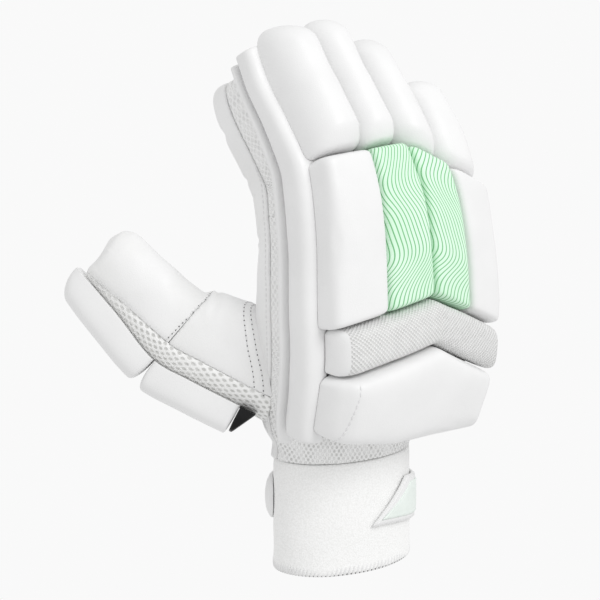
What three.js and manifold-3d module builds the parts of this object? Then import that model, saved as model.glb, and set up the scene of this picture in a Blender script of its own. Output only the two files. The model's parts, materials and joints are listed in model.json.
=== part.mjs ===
// Right-hand cricket batting glove, upright as it is worn: padded rolls and bars sewn on a
// thin glove of mesh and leather, with a towelling cuff.
// Millimetres, +Z up. The origin is the centre of the wrist opening at the cuff's lower rim.
// Fingers point up, the back of the hand faces -Y and the thumb stands out towards -X and +Y.

import * as THREE from 'three';
import { mergeVertices } from 'three/addons/utils/BufferGeometryUtils.js';
import Module from 'manifold-3d';

const wasm = await Module();
wasm.setup();

// Cuff
const CUFF_WIDTH = 80;
const CUFF_DEPTH = 54;
const CUFF_HEIGHT = 56.5;
const CUFF_WALL = 3;

// Closing strap on the cuff
const STRAP_LOW = 18;
const STRAP_WIDTH = 23;
const STRAP_PULL_LIFT = 5;
const STRAP_SEWN_LIFT = 6;
const STRAP_THICKNESS = 2.2;
const STRAP_END_THICKNESS = 4.2;
const PATCH_THICKNESS = 1.3;
const PATCH_BORDER = 3;

// Hand and fingers
const HAND_LENGTH = 211.5;
const KNUCKLE_SET = 34;
const FINGER_CURL = 51;
const INDEX_SIDE = 51;
const LITTLE_SIDE = 63;
const HAND_DEPTH = 63;
const FINGER_DEPTH = 46;
const CROWN = 4.5;
const GLOVE_WALL = 2;
const LEATHER_EDGE = 32.5;

// Padding on the back
const BAR_HEIGHT = 13.5;
const TIP_ROLL_HEIGHT = 20.5;
const BAND_HEIGHT = 15;
const BAND_LENGTH = 22;
const BAND_INSET = 4;
const BAND_OVERHANG = 2;
const WRIST_PAD_HEIGHT = 18.5;
const WRIST_PAD_INSET = 2;
const WRIST_PAD_STOP = 5;
const WRIST_PAD_LEAN = 8;
const SIDE_ROLL_WIDTH = 17;
const SIDE_ROLL_HEIGHT = 5.5;
const WELT_WIDTH = 4;
const WELT_HEIGHT = 4;

// Thumb
const THUMB_TURN = THREE.MathUtils.degToRad(45);
const THUMB_TILT = THREE.MathUtils.degToRad(10);
const THUMB_REACH = 127;
const THUMB_RISE = 141;
const THUMB_SET = 35;
const THUMB_WIDTH = 34;
const THUMB_DEPTH = 50;
const THUMB_MESH_WIDTH = 12.5;
const THUMB_ROLL_HEIGHT = 14;
const THUMB_ROLL_WIDTH = 31;

// Clearances: between sewn layers, and between two pads that lie side by side
const GAP = 0.3;
const SEAM = 0.8;

// Line on which the padding sits, from the cuff to the fingertips.
// up is a share of the hand's length; the rest are shares of half the cuff's depth,
// of the knuckles' set-back and of the fingers' forward curl.
const HAND_LINE = [
  { up: 0.000, cuff: 0.93, knuckle: 0.0, curl: 0.000 },
  { up: 0.105, cuff: 0.45, knuckle: 0.5, curl: 0.000 },
  { up: 0.247, cuff: 0.00, knuckle: 1.0, curl: 0.000 },
  { up: 0.346, cuff: 0.00, knuckle: 1.0, curl: 0.010 },
  { up: 0.441, cuff: 0.00, knuckle: 1.0, curl: 0.039 },
  { up: 0.538, cuff: 0.00, knuckle: 1.0, curl: 0.076 },
  { up: 0.634, cuff: 0.00, knuckle: 1.0, curl: 0.141 },
  { up: 0.699, cuff: 0.00, knuckle: 1.0, curl: 0.229 },
  { up: 0.787, cuff: 0.00, knuckle: 1.0, curl: 0.475 },
  { up: 0.867, cuff: 0.00, knuckle: 1.0, curl: 0.722 },
  { up: 0.937, cuff: 0.00, knuckle: 1.0, curl: 0.871 },
  { up: 1.000, cuff: 0.00, knuckle: 1.0, curl: 1.000 },
];

// Sections of the hand along that line. index and little: how far each side has swelled from
// the cuff to its full size. cuff, hand: what share of the depth each gives, the rest is the
// finger's. crown: share of the back's crown. square: roundness of the section, 2 is an ellipse.
const HAND_SECTIONS = [
  { at: 0.00, index: 0.00, little: 0.00, cuff: 1.0, hand: 0.00, crown: 0.4, square: 2.0 },
  { at: 0.04, index: 0.50, little: 0.14, cuff: 0.7, hand: 0.30, crown: 0.4, square: 2.1 },
  { at: 0.10, index: 0.82, little: 0.34, cuff: 0.4, hand: 0.60, crown: 0.6, square: 2.4 },
  { at: 0.17, index: 0.92, little: 0.60, cuff: 0.2, hand: 0.80, crown: 0.8, square: 2.7 },
  { at: 0.24, index: 1.00, little: 0.84, cuff: 0.0, hand: 1.00, crown: 0.9, square: 3.0 },
  { at: 0.33, index: 1.00, little: 1.00, cuff: 0.0, hand: 0.90, crown: 1.0, square: 3.2 },
  { at: 0.42, index: 0.91, little: 1.00, cuff: 0.0, hand: 0.75, crown: 1.0, square: 3.4 },
  { at: 0.49, index: 0.82, little: 0.95, cuff: 0.0, hand: 0.60, crown: 1.0, square: 3.4 },
  { at: 0.56, index: 0.77, little: 0.90, cuff: 0.0, hand: 0.30, crown: 0.9, square: 3.4 },
  { at: 0.67, index: 0.68, little: 0.88, cuff: 0.0, hand: 0.00, crown: 0.5, square: 3.2 },
  { at: 1.00, index: 0.66, little: 0.86, cuff: 0.0, hand: 0.00, crown: 0.3, square: 3.0 },
];

// Lines between the fingers and bars, as shares of the whole width from the index side.
const FINGER_LINES = [
  { at: 0.29, line0: 0.000, line1: 0.291, line2: 0.574, line3: 0.813, line4: 1.035 },
  { at: 0.54, line0: 0.000, line1: 0.290, line2: 0.556, line3: 0.785, line4: 1.013 },
  { at: 0.67, line0: 0.000, line1: 0.283, line2: 0.515, line3: 0.735, line4: 0.990 },
  { at: 1.00, line0: 0.000, line1: 0.270, line2: 0.495, line3: 0.735, line4: 0.980 },
];

// Fingers. sleeve and roll: where each ends along the hand's line. seamIn, seamOut: where the
// bar ends and the tip roll starts, on its index side and its little side. rise: share of the
// tip roll's height.
const FINGERS = [
  { name: 'index', sleeve: 0.915, roll: 0.975, seamIn: 0.665, seamOut: 0.669, rise: 0.97 },
  { name: 'middle', sleeve: 0.920, roll: 0.985, seamIn: 0.669, seamOut: 0.673, rise: 0.80 },
  { name: 'ring', sleeve: 0.870, roll: 0.935, seamIn: 0.670, seamOut: 0.628, rise: 0.73 },
  { name: 'little', sleeve: 0.775, roll: 0.825, seamIn: 0.622, seamOut: 0.574, rise: 0.58 },
];

// Where the bars' lower ends meet the chevron band, by share of the width.
const CHEVRON = [
  { at: 0.00, along: 0.313 },
  { at: 0.57, along: 0.352 },
  { at: 1.03, along: 0.258 },
];

// Lower edge of the wrist pad, by share of the width.
const PAD_BOTTOM = [
  { at: 0.00, along: 0.088 },
  { at: 0.35, along: 0.060 },
  { at: 1.00, along: 0.050 },
];

// Outline of a pad's section: share of its width and of its height, from edge to edge.
const BAR_PROFILE = [
  { across: 0.00, rise: 0.00 },
  { across: 0.00, rise: 0.68 },
  { across: 0.05, rise: 0.87 },
  { across: 0.16, rise: 0.97 },
  { across: 0.50, rise: 1.02 },
  { across: 0.84, rise: 0.97 },
  { across: 0.95, rise: 0.87 },
  { across: 1.00, rise: 0.68 },
  { across: 1.00, rise: 0.00 },
];
const ROLL_PROFILE = [
  { across: 0.00, rise: 0.00 },
  { across: 0.00, rise: 0.42 },
  { across: 0.05, rise: 0.70 },
  { across: 0.17, rise: 0.90 },
  { across: 0.34, rise: 0.99 },
  { across: 0.50, rise: 1.02 },
  { across: 0.66, rise: 0.99 },
  { across: 0.83, rise: 0.90 },
  { across: 0.95, rise: 0.70 },
  { across: 1.00, rise: 0.42 },
  { across: 1.00, rise: 0.00 },
];

// Height of a pad along its length, as shares of both; pinch draws its sides in.
const BAR_ENDS = [
  { at: 0.00, rise: 0.74, pinch: 0.02 },
  { at: 0.04, rise: 0.95, pinch: 0.00 },
  { at: 0.30, rise: 1.00, pinch: 0.00 },
  { at: 0.55, rise: 1.00, pinch: 0.00 },
  { at: 0.80, rise: 1.00, pinch: 0.00 },
  { at: 0.96, rise: 0.95, pinch: 0.00 },
  { at: 1.00, rise: 0.80, pinch: 0.01 },
];
const TIP_ROLL_ENDS = [
  { at: 0.00, rise: 0.66, pinch: 0.01 },
  { at: 0.10, rise: 0.94, pinch: 0.00 },
  { at: 0.25, rise: 1.00, pinch: 0.00 },
  { at: 0.45, rise: 1.03, pinch: 0.00 },
  { at: 0.65, rise: 1.03, pinch: 0.00 },
  { at: 0.82, rise: 0.97, pinch: 0.00 },
  { at: 0.91, rise: 0.84, pinch: 0.03 },
  { at: 0.97, rise: 0.60, pinch: 0.10 },
  { at: 1.00, rise: 0.30, pinch: 0.20 },
];

// Thumb line on which its rolls sit, as shares of the thumb's reach and rise.
const THUMB_LINE = [
  { reach: 0.268, rise: 0.482 },
  { reach: 0.398, rise: 0.545 },
  { reach: 0.584, rise: 0.630 },
  { reach: 0.725, rise: 0.702 },
  { reach: 0.870, rise: 0.863 },
  { reach: 1.000, rise: 1.000 },
];

// Sections of the thumb: shares of its width and depth, and of the mesh gusset's width.
const THUMB_SECTIONS = [
  { at: -0.10, width: 1.05, depth: 1.20, mesh: 1.00 },
  { at: 0.155, width: 1.05, depth: 1.00, mesh: 0.95 },
  { at: 0.375, width: 1.00, depth: 0.94, mesh: 0.98 },
  { at: 0.545, width: 0.97, depth: 0.87, mesh: 1.00 },
  { at: 0.790, width: 0.93, depth: 0.80, mesh: 0.60 },
  { at: 0.930, width: 0.86, depth: 0.78, mesh: 0.36 },
  { at: 1.000, width: 0.70, depth: 0.67, mesh: 0.26 },
];
const THUMB_JOINT = 0.545;
const THUMB_ROLL_FROM = 0.155;
const THUMB_END_FROM = 0.075;

// Strap: turn of its slanted pull end at the lower and the upper edge, and of its sewn end.
const STRAP_TURN_LOW = THREE.MathUtils.degToRad(-101);
const STRAP_TURN_HIGH = THREE.MathUtils.degToRad(-62);
const STRAP_TURN_END = THREE.MathUtils.degToRad(152);
const PATCH_TURN_END = THREE.MathUtils.degToRad(-8);
const STRAP_STEPS = 16;
const PATCH_STEPS = 9;

const RING_POINTS = 22;
const FINGER_POINTS = 12;
const THUMB_POINTS = 16;
const CUFF_POINTS = 30;

// Value of one column of a table at a place between its rows.
function column(table, name, at) {
  const last = table[table.length - 1];
  if (at <= table[0].at) return table[0][name];
  if (at >= last.at) return last[name];
  const next = table.findIndex((row) => row.at > at);
  const low = table[next - 1];
  const high = table[next];
  const share = (at - low.at) / (high.at - low.at);
  return THREE.MathUtils.lerp(low[name], high[name], share);
}

// Mesh surfaces as solids, and back
function solidFrom(geometry) {
  const vertProperties = new Float32Array(geometry.attributes.position.array);
  const triVerts = new Uint32Array(geometry.index.array);
  return new wasm.Manifold(new wasm.Mesh({ numProp: 3, vertProperties, triVerts }));
}

function geometryFrom(solid) {
  const mesh = solid.getMesh();
  const geometry = new THREE.BufferGeometry();
  geometry.setAttribute('position', new THREE.BufferAttribute(mesh.vertProperties, 3));
  geometry.setIndex(new THREE.BufferAttribute(mesh.triVerts, 1));
  return geometry;
}

// Closed skin over a stack of rings that have the same number of points.
function loft(rings) {
  const points = rings.flat();
  const count = rings[0].length;
  const faces = [];
  for (let row = 0; row < rings.length - 1; row += 1) {
    for (let step = 0; step < count; step += 1) {
      const a = row * count + step;
      const b = row * count + (step + 1) % count;
      faces.push(a, b, b + count, a, b + count, a + count);
    }
  }
  [0, rings.length - 1].forEach((row) => {
    const centre = new THREE.Vector3();
    rings[row].forEach((point) => centre.addScaledVector(point, 1 / count));
    const hub = points.push(centre) - 1;
    for (let step = 0; step < count; step += 1) {
      const a = row * count + step;
      const b = row * count + (step + 1) % count;
      faces.push(...(row === 0 ? [hub, b, a] : [hub, a, b]));
    }
  });
  if (enclosedVolume(points, faces) < 0) faces.reverse();
  let geometry = new THREE.BufferGeometry().setFromPoints(points);
  geometry.setIndex(faces);
  geometry = mergeVertices(geometry);
  return solidFrom(geometry);
}

function enclosedVolume(points, faces) {
  let volume = 0;
  for (let i = 0; i < faces.length; i += 3) {
    const [a, b, c] = [points[faces[i]], points[faces[i + 1]], points[faces[i + 2]]];
    volume += a.dot(new THREE.Vector3().crossVectors(b, c)) / 6;
  }
  return volume;
}

// A bend: a curved line that carries sections. Each place on it is given across (sideways),
// deep (towards the palm or the thumb's pulp) and along (share of the line's length).
class Bend {
  constructor(line, sideways) {
    this.curve = new THREE.CatmullRomCurve3(line, false, 'centripetal');
    this.length = this.curve.getLength();
    this.sideways = sideways;
  }

  place(across, deep, along) {
    const on = THREE.MathUtils.clamp(along, 0, 1);
    const forward = this.curve.getTangentAt(on);
    const inward = new THREE.Vector3().crossVectors(forward, this.sideways);
    return this.curve.getPointAt(on)
      .addScaledVector(forward, (along - on) * this.length)
      .addScaledVector(this.sideways, across)
      .addScaledVector(inward, deep);
  }

  // Rounded ring inside a box of left, right, near and far; grow moves it out on all sides.
  ring(box, along, square, count, grow) {
    const ring = [];
    for (let step = 0; step < count; step += 1) {
      const turn = (2 * Math.PI * (step + 0.5)) / count;
      const across = rounded(Math.cos(turn), square) * ((box.right - box.left) / 2 + grow);
      const deep = rounded(Math.sin(turn), square) * ((box.far - box.near) / 2 + grow);
      ring.push(this.place((box.left + box.right) / 2 + across, (box.near + box.far) / 2 + deep, along));
    }
    return ring;
  }

  // Block with plain four-cornered sections, used to part one layer from the next. Its two ends
  // are drawn in by half a gap.
  block(from, to, steps, boxAt) {
    const rings = [];
    for (let step = 0; step <= steps; step += 1) {
      const along = THREE.MathUtils.lerp(from, to, step / steps);
      const on = THREE.MathUtils.clamp(along, 0, 1);
      const inset = (Number(step === 0) - Number(step === steps)) * (GAP / 2);
      const shift = this.curve.getTangentAt(on).multiplyScalar(inset);
      const box = boxAt(along);
      rings.push([
        this.place(box.left, box.near, along).add(shift),
        this.place(box.right, box.near, along).add(shift),
        this.place(box.right, box.far, along).add(shift),
        this.place(box.left, box.far, along).add(shift),
      ]);
    }
    return loft(rings);
  }
}

function rounded(value, square) {
  return Math.sign(value) * Math.abs(value) ** (2 / square);
}

// Hand
const handBend = new Bend(
  HAND_LINE.map((row) => new THREE.Vector3(
    0,
    row.curl * FINGER_CURL - row.knuckle * KNUCKLE_SET - (row.cuff * CUFF_DEPTH) / 2,
    CUFF_HEIGHT + GAP + row.up * HAND_LENGTH,
  )),
  new THREE.Vector3(1, 0, 0),
);

function handBox(along) {
  const cuff = column(HAND_SECTIONS, 'cuff', along);
  const hand = column(HAND_SECTIONS, 'hand', along);
  const depth = cuff * CUFF_DEPTH + hand * HAND_DEPTH + (1 - cuff - hand) * FINGER_DEPTH;
  const near = -column(HAND_SECTIONS, 'crown', along) * CROWN;
  return {
    left: -THREE.MathUtils.lerp(CUFF_WIDTH / 2, INDEX_SIDE, column(HAND_SECTIONS, 'index', along)),
    right: THREE.MathUtils.lerp(CUFF_WIDTH / 2, LITTLE_SIDE, column(HAND_SECTIONS, 'little', along)),
    near,
    far: near + depth,
  };
}

// How far the back's crown stands out at a place across the hand.
function crownAt(across, along) {
  const box = handBox(along);
  const share = (2 * across - box.left - box.right) / (box.right - box.left);
  return -box.near * Math.max(0, 1 - share * share);
}

// Across place of the line on one side of a finger (0 on the index side, 4 on the little side).
function fingerLine(number, along) {
  const box = handBox(along);
  const share = column(FINGER_LINES, `line${number}`, along);
  return THREE.MathUtils.lerp(box.left, box.right, share);
}

const HAND_STATIONS = [-0.10, 0.00, 0.04, 0.10, 0.17, 0.24, 0.33, 0.42, 0.49, 0.56];

function handBody(grow) {
  const rings = HAND_STATIONS.map((along) => {
    const square = column(HAND_SECTIONS, 'square', along);
    return handBend.ring(handBox(along), along, square, RING_POINTS, grow);
  });
  return loft(rings);
}

// Finger sleeve: starts inside the hand and closes over the fingertip.
const SLEEVE_START = 0.49;
const SLEEVE_SQUARE = 3.4;
const SLEEVE_SHAPE = [
  { at: 0.00, size: 1.00 },
  { at: 0.30, size: 1.00 },
  { at: 0.54, size: 1.00 },
  { at: 0.77, size: 1.00 },
  { at: 0.94, size: 0.95 },
  { at: 1.00, size: 0.78 },
];

function fingerSleeve(number, grow) {
  const end = FINGERS[number].sleeve + grow / handBend.length;
  const rings = SLEEVE_SHAPE.map((row) => {
    const along = THREE.MathUtils.lerp(SLEEVE_START, end, row.at);
    const left = fingerLine(number, along) + SEAM / 2;
    const right = Math.min(fingerLine(number + 1, along), handBox(along).right) - SEAM / 2;
    const near = -crownAt((left + right) / 2, along);
    const inset = ((1 - row.size) * (right - left)) / 2;
    const box = {
      left: left + inset,
      right: right - inset,
      near: near + inset,
      far: near + FINGER_DEPTH - inset,
    };
    return handBend.ring(box, along, SLEEVE_SQUARE, FINGER_POINTS, grow);
  });
  return loft(rings);
}

function handForm(grow) {
  let form = handBody(grow);
  FINGERS.forEach((finger, number) => {
    form = form.add(fingerSleeve(number, grow));
  });
  return form;
}

// Thumb: its line lies in a plane that is turned from the hand's side and tilted.
const thumbSideways = new THREE.Vector3(
  -Math.sin(THUMB_TURN) * Math.cos(THUMB_TILT),
  -Math.cos(THUMB_TURN) * Math.cos(THUMB_TILT),
  Math.sin(THUMB_TILT),
);
const thumbOut = new THREE.Vector3(-Math.cos(THUMB_TURN), Math.sin(THUMB_TURN), 0);
const thumbUp = new THREE.Vector3().crossVectors(thumbOut, thumbSideways);
const thumbBend = new Bend(
  THUMB_LINE.map((row) => new THREE.Vector3()
    .addScaledVector(thumbOut, row.reach * THUMB_REACH)
    .addScaledVector(thumbUp, row.rise * THUMB_RISE)
    .addScaledVector(thumbSideways, THUMB_SET)),
  thumbSideways,
);

const THUMB_SQUARE = 2.4;
const THUMB_STATIONS = [-0.10, 0.10, 0.24, 0.375, 0.46, 0.545, 0.66, 0.79, 0.93, 1.00];

function thumbForm(grow) {
  const stations = THUMB_STATIONS.map((along) => along + (along === 1 ? grow / thumbBend.length : 0));
  return loft(stations.map((along) => {
    const half = (column(THUMB_SECTIONS, 'width', along) * THUMB_WIDTH) / 2;
    const far = column(THUMB_SECTIONS, 'depth', along) * THUMB_DEPTH;
    const box = { left: -half, right: half, near: 0, far };
    return thumbBend.ring(box, along, THUMB_SQUARE, THUMB_POINTS, grow);
  }));
}

// Pads. A pad is a stack of sections; each point of one is given by its share of the length,
// its share of the width and its height over the line.
function padSolid(ends, profile, height, pointAt) {
  const rings = ends.map((end) => profile.map((point) => {
    const across = THREE.MathUtils.lerp(point.across, 0.5, 2 * end.pinch);
    return pointAt(end.at, across, point.rise * end.rise * height);
  }));
  return loft(rings);
}

// Bar or roll along a finger, between two finger lines.
function fingerPad(number, from, to, ends, profile, height) {
  return padSolid(ends, profile, height, (at, share, rise) => {
    const along = THREE.MathUtils.lerp(from(share), to(share), at);
    const across = fingerPlace(number, share, along);
    return handBend.place(across, rise > 0 ? -rise - crownAt(across, along) : 0, along);
  });
}

// Across place of a share of one finger's pad.
function fingerPlace(number, share, along) {
  const left = fingerLine(number, along) + SEAM / 2;
  const right = fingerLine(number + 1, along) - SEAM / 2;
  return THREE.MathUtils.lerp(left, right, share);
}

// The chevron's line at a place across the hand.
function chevronLine(across) {
  return column(CHEVRON, 'along', (across + INDEX_SIDE) / (INDEX_SIDE + LITTLE_SIDE));
}

// Where a bar's lower end meets the chevron, by share of the bar's width. The bar's sides move
// a little along the hand, so the place is found in a few passes.
const CHEVRON_PASSES = 4;

function chevronAt(number, share) {
  let along = CHEVRON[0].along;
  for (let pass = 0; pass < CHEVRON_PASSES; pass += 1) {
    along = chevronLine(fingerPlace(number, share, along));
  }
  return along;
}

// Pad that runs across the back of the hand and rises to the chevron's peak. low and high give
// its edges by place across. Its right end leans in towards its lower edge.
const ACROSS_STEPS = 12;
const ACROSS_ENDS = Array.from({ length: ACROSS_STEPS + 1 }, (_, step) => {
  const edge = Math.min(step, ACROSS_STEPS - step);
  return { at: step / ACROSS_STEPS, rise: [0.86, 0.97][edge] ?? 1, pinch: edge === 0 ? 0.03 : 0 };
});

function crossPad(left, right, low, high, height, lean) {
  const peak = THREE.MathUtils.lerp(-INDEX_SIDE, LITTLE_SIDE, CHEVRON[1].at);
  return padSolid(ACROSS_ENDS, BAR_PROFILE, height, (at, share, rise) => {
    const across = at < 0.5
      ? THREE.MathUtils.lerp(left, peak, 2 * at)
      : THREE.MathUtils.lerp(peak, right - lean * (1 - share), 2 * at - 1);
    const along = THREE.MathUtils.lerp(low(across), high(across), share);
    return handBend.place(across, rise > 0 ? -rise - crownAt(across, along) : 0, along);
  });
}

// Build the glove's layers
const handOuter = handForm(0);
const handClear = handForm(GAP);
const thumbHollow = thumbForm(-GLOVE_WALL);
const handHollow = handForm(-GLOVE_WALL).add(thumbHollow);
const belowHand = solidFrom(mergedBox(4 * CUFF_WIDTH, 4 * CUFF_DEPTH, CUFF_HEIGHT));

function mergedBox(width, depth, top) {
  const box = new THREE.BoxGeometry(width, depth, 2 * top);
  box.translate(0, 0, GAP);
  box.deleteAttribute('normal');
  box.deleteAttribute('uv');
  return mergeVertices(box);
}

const handShell = handOuter.subtract(handHollow).subtract(belowHand);
const thumbShell = thumbForm(0).subtract(thumbHollow).subtract(handClear);
const thumbClear = thumbForm(GAP);

// The skin of the hand is parted into palm leather and mesh, and the mesh into hand and fingers.
const WIDE = 2 * LITTLE_SIDE;
const DEEP_SPARE = 4;
const DEEP = HAND_DEPTH + DEEP_SPARE;
const BLOCK_STEPS = 12;
const KNUCKLE_CUT = 0.56;

const palmSide = (near) => handBend.block(-0.2, 1.05, BLOCK_STEPS, () => (
  { left: -WIDE, right: WIDE, near, far: DEEP }));
const handStretch = (from, to, leftAt, rightAt) => handBend.block(from, to, BLOCK_STEPS, (along) => (
  { left: leftAt(along), right: rightAt(along), near: -DEEP / 2, far: DEEP }));

const palmSkin = handShell.intersect(palmSide(LEATHER_EDGE + GAP / 2));
const meshSkin = handShell.subtract(palmSide(LEATHER_EDGE - GAP / 2));
const backSkin = meshSkin.intersect(handStretch(-0.2, KNUCKLE_CUT, () => -WIDE, () => WIDE));
const fingerSkin = (number) => meshSkin.intersect(handStretch(KNUCKLE_CUT, 1.05,
  (along) => (number === 0 ? -WIDE : fingerLine(number, along)),
  (along) => (number === 3 ? WIDE : fingerLine(number + 1, along))));

const thumbBlock = (from, to, nearAt) => thumbBend.block(from, to, BLOCK_STEPS, (along) => (
  { left: -THUMB_WIDTH, right: THUMB_WIDTH, near: nearAt(along), far: 2 * THUMB_DEPTH }));
const pulpSide = (grow) => thumbBlock(-0.3, 1.2, (along) => (
  column(THUMB_SECTIONS, 'mesh', along) * THUMB_MESH_WIDTH + grow));
const thumbPulp = thumbShell.intersect(pulpSide(GAP / 2));
const thumbStretch = (from, to) => thumbBlock(from, to, () => -THUMB_DEPTH / 2);

// Slim piece that runs along one side of the hand, outside the glove's skin. It slims down
// along the fingers and is lower at its two ends. Its section goes from its inner edge round
// to the other one, by share of its height and of its width.
const STRIP_STEPS = 11;
const STRIP_SLIM = { share: 0.76, from: 0.60, to: 0.85 };
const STRIP_END_HEIGHT = 0.7;
const STRIP_SECTION = [
  { out: 0.55, deep: 0.0 },
  { out: 0.90, deep: 0.2 },
  { out: 1.00, deep: 0.5 },
  { out: 0.90, deep: 0.8 },
  { out: 0.55, deep: 1.0 },
];

function sideStrip(strip) {
  const { side, from, to, near, width, height } = strip;
  const rings = [];
  for (let step = 0; step <= STRIP_STEPS; step += 1) {
    const share = step / STRIP_STEPS;
    const along = THREE.MathUtils.lerp(from, to, share);
    const box = handBox(along);
    const skin = side < 0 ? -box.left : box.right;
    const slimmed = THREE.MathUtils.smoothstep(along, STRIP_SLIM.from, STRIP_SLIM.to);
    const slim = THREE.MathUtils.lerp(1, STRIP_SLIM.share, slimmed);
    const endShare = step === 0 || step === STRIP_STEPS ? STRIP_END_HEIGHT : 1;
    const low = near * slim;
    const high = (near + width) * slim;
    rings.push([
      [skin - height, low],
      ...STRIP_SECTION.map((row) => [
        skin + height * row.out * endShare,
        THREE.MathUtils.lerp(low, high, row.deep),
      ]),
      [skin - height, high],
    ].map(([across, deep]) => handBend.place(side * across, deep, along)));
  }
  return loft(rings).subtract(handClear);
}

// Cuff: an oval tube with a slightly fuller hem.
const CUFF_SHAPE = [
  { at: 0.00, swell: -0.3 },
  { at: 0.05, swell: 0.3 },
  { at: 0.50, swell: 0.0 },
  { at: 0.92, swell: 0.0 },
  { at: 1.00, swell: -0.3 },
];

function ovalRing(width, depth, up) {
  return Array.from({ length: CUFF_POINTS }, (_, step) => {
    const turn = (2 * Math.PI * step) / CUFF_POINTS;
    return new THREE.Vector3((width / 2) * Math.cos(turn), (depth / 2) * Math.sin(turn), up);
  });
}

function cuffForm(grow) {
  return loft(CUFF_SHAPE.map((row) => {
    const more = 2 * (row.swell + grow);
    return ovalRing(CUFF_WIDTH + more, CUFF_DEPTH + more, row.at * CUFF_HEIGHT);
  }));
}

function cuffSolid() {
  const inside = [-1, CUFF_HEIGHT + 1].map((up) => (
    ovalRing(CUFF_WIDTH - 2 * CUFF_WALL, CUFF_DEPTH - 2 * CUFF_WALL, up)));
  return cuffForm(0).subtract(loft(inside));
}

// The strap rises towards its pull end and towards its sewn end.
function strapLift(turn) {
  const pull = THREE.MathUtils.smoothstep(-turn, THREE.MathUtils.degToRad(20), -STRAP_TURN_LOW);
  const sewn = THREE.MathUtils.smoothstep(turn, THREE.MathUtils.degToRad(60), STRAP_TURN_END);
  return pull * STRAP_PULL_LIFT + sewn * STRAP_SEWN_LIFT;
}

// Band round the cuff from a slanted end to a straight one, between two distances from the
// cuff. It is then cut to what it lies on, so its inner distance reaches a little into that.
// Its rows, as shares from the low edge to the high one, keep the slanted end round the cuff.
const BAND_EDGE = 0.3;
const BAND_BEVEL = 3 * BAND_EDGE;
const BAND_ROWS = [0, 0.33, 0.67, 1];

function cuffBand(band) {
  const rings = [];
  for (let step = 0; step <= band.steps; step += 1) {
    const share = step / band.steps;
    const edge = (row, inset, out) => {
      const start = THREE.MathUtils.lerp(band.startLow, band.startHigh, row);
      const turn = THREE.MathUtils.lerp(start, band.end, share);
      const up = THREE.MathUtils.lerp(band.low + inset, band.high - inset, row);
      const x = (CUFF_WIDTH / 2 + out) * Math.cos(turn);
      const y = (CUFF_DEPTH / 2 + out) * Math.sin(turn);
      return new THREE.Vector3(x, y, up + strapLift(turn));
    };
    const outer = band.outerAt(share);
    rings.push([
      edge(0, 0, outer - BAND_EDGE),
      ...BAND_ROWS.map((row) => edge(row, BAND_BEVEL, outer)),
      edge(1, 0, outer - BAND_EDGE),
      ...BAND_ROWS.map((row) => edge(1 - row, 0, band.inner)),
    ]);
  }
  return loft(rings);
}


// The strap thickens between these shares of its length, towards its sewn end.
const STRAP_THICKENS = { from: 0.75, to: 0.95 };

function strapForm(grow) {
  return cuffBand({
    low: STRAP_LOW,
    high: STRAP_LOW + STRAP_WIDTH,
    startLow: STRAP_TURN_LOW,
    startHigh: STRAP_TURN_HIGH,
    end: STRAP_TURN_END,
    steps: STRAP_STEPS,
    inner: -CUFF_WALL / 2,
    outerAt: (share) => GAP + grow + THREE.MathUtils.lerp(
      STRAP_THICKNESS,
      STRAP_END_THICKNESS,
      THREE.MathUtils.smoothstep(share, STRAP_THICKENS.from, STRAP_THICKENS.to),
    ),
  }).subtract(cuffForm(GAP));
}

// Turn left free beside the patch at the strap's slanted end: all of it below, half above.
const PATCH_TURN_INSET = PATCH_BORDER / STRAP_WIDTH;

function patchForm() {
  return cuffBand({
    low: STRAP_LOW + PATCH_BORDER,
    high: STRAP_LOW + STRAP_WIDTH - PATCH_BORDER,
    startLow: STRAP_TURN_LOW + PATCH_TURN_INSET,
    startHigh: STRAP_TURN_HIGH + PATCH_TURN_INSET / 2,
    end: PATCH_TURN_END,
    steps: PATCH_STEPS,
    inner: GAP + STRAP_THICKNESS / 2,
    outerAt: () => GAP + STRAP_THICKNESS + GAP + PATCH_THICKNESS,
  }).subtract(strapForm(GAP));
}

// Materials
const finish = (color, roughness) => new THREE.MeshStandardMaterial({ color, roughness, metalness: 0 });
const leather = finish('#ececec', 0.45);
const palmLeather = finish('#e9e9e9', 0.55);
const spacerMesh = finish('#f0f0f0', 0.85);
const netMesh = finish('#ededed', 0.75);
const greenPrint = finish('#bff3cd', 0.5);
const towelling = finish('#f2f2f2', 0.95);
const patchCloth = finish('#e6f2e9', 0.6);
const darkFoam = finish('#3a3a3c', 0.6);

const glove = new THREE.Group();

// The largest body of a cut solid; slivers that a cut leaves beside it are dropped.
function mainBody(solid) {
  return solid.decompose().reduce((main, body) => (body.volume() > main.volume() ? body : main));
}

function addPiece(name, solid, material) {
  const mesh = new THREE.Mesh(geometryFrom(mainBody(solid)), material);
  mesh.name = name;
  glove.add(mesh);
}

addPiece('wristband', cuffSolid(), towelling);
addPiece('wrist_strap', strapForm(0), leather);
addPiece('strap_patch', patchForm(), patchCloth);

addPiece('back_mesh', backSkin, spacerMesh);
addPiece('palm_leather', palmSkin, palmLeather);
FINGERS.forEach((finger, number) => {
  addPiece(`${finger.name}_mesh`, fingerSkin(number), spacerMesh);
});

const seam = SEAM / 2 / handBend.length;
FINGERS.forEach((finger, number) => {
  const print = finger.name === 'middle' || finger.name === 'ring';
  const seamLine = (share) => THREE.MathUtils.lerp(finger.seamIn, finger.seamOut, share);
  const bar = fingerPad(number, (share) => chevronAt(number, share) + seam,
    (share) => seamLine(share) - seam, BAR_ENDS, BAR_PROFILE, BAR_HEIGHT);
  const roll = fingerPad(number, (share) => seamLine(share) + seam,
    () => finger.roll, TIP_ROLL_ENDS, ROLL_PROFILE, finger.rise * TIP_ROLL_HEIGHT);
  addPiece(`${finger.name}_bar`, bar.subtract(handClear), print ? greenPrint : leather);
  addPiece(`${finger.name}_tip_roll`, roll.subtract(handClear), leather);
});

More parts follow.
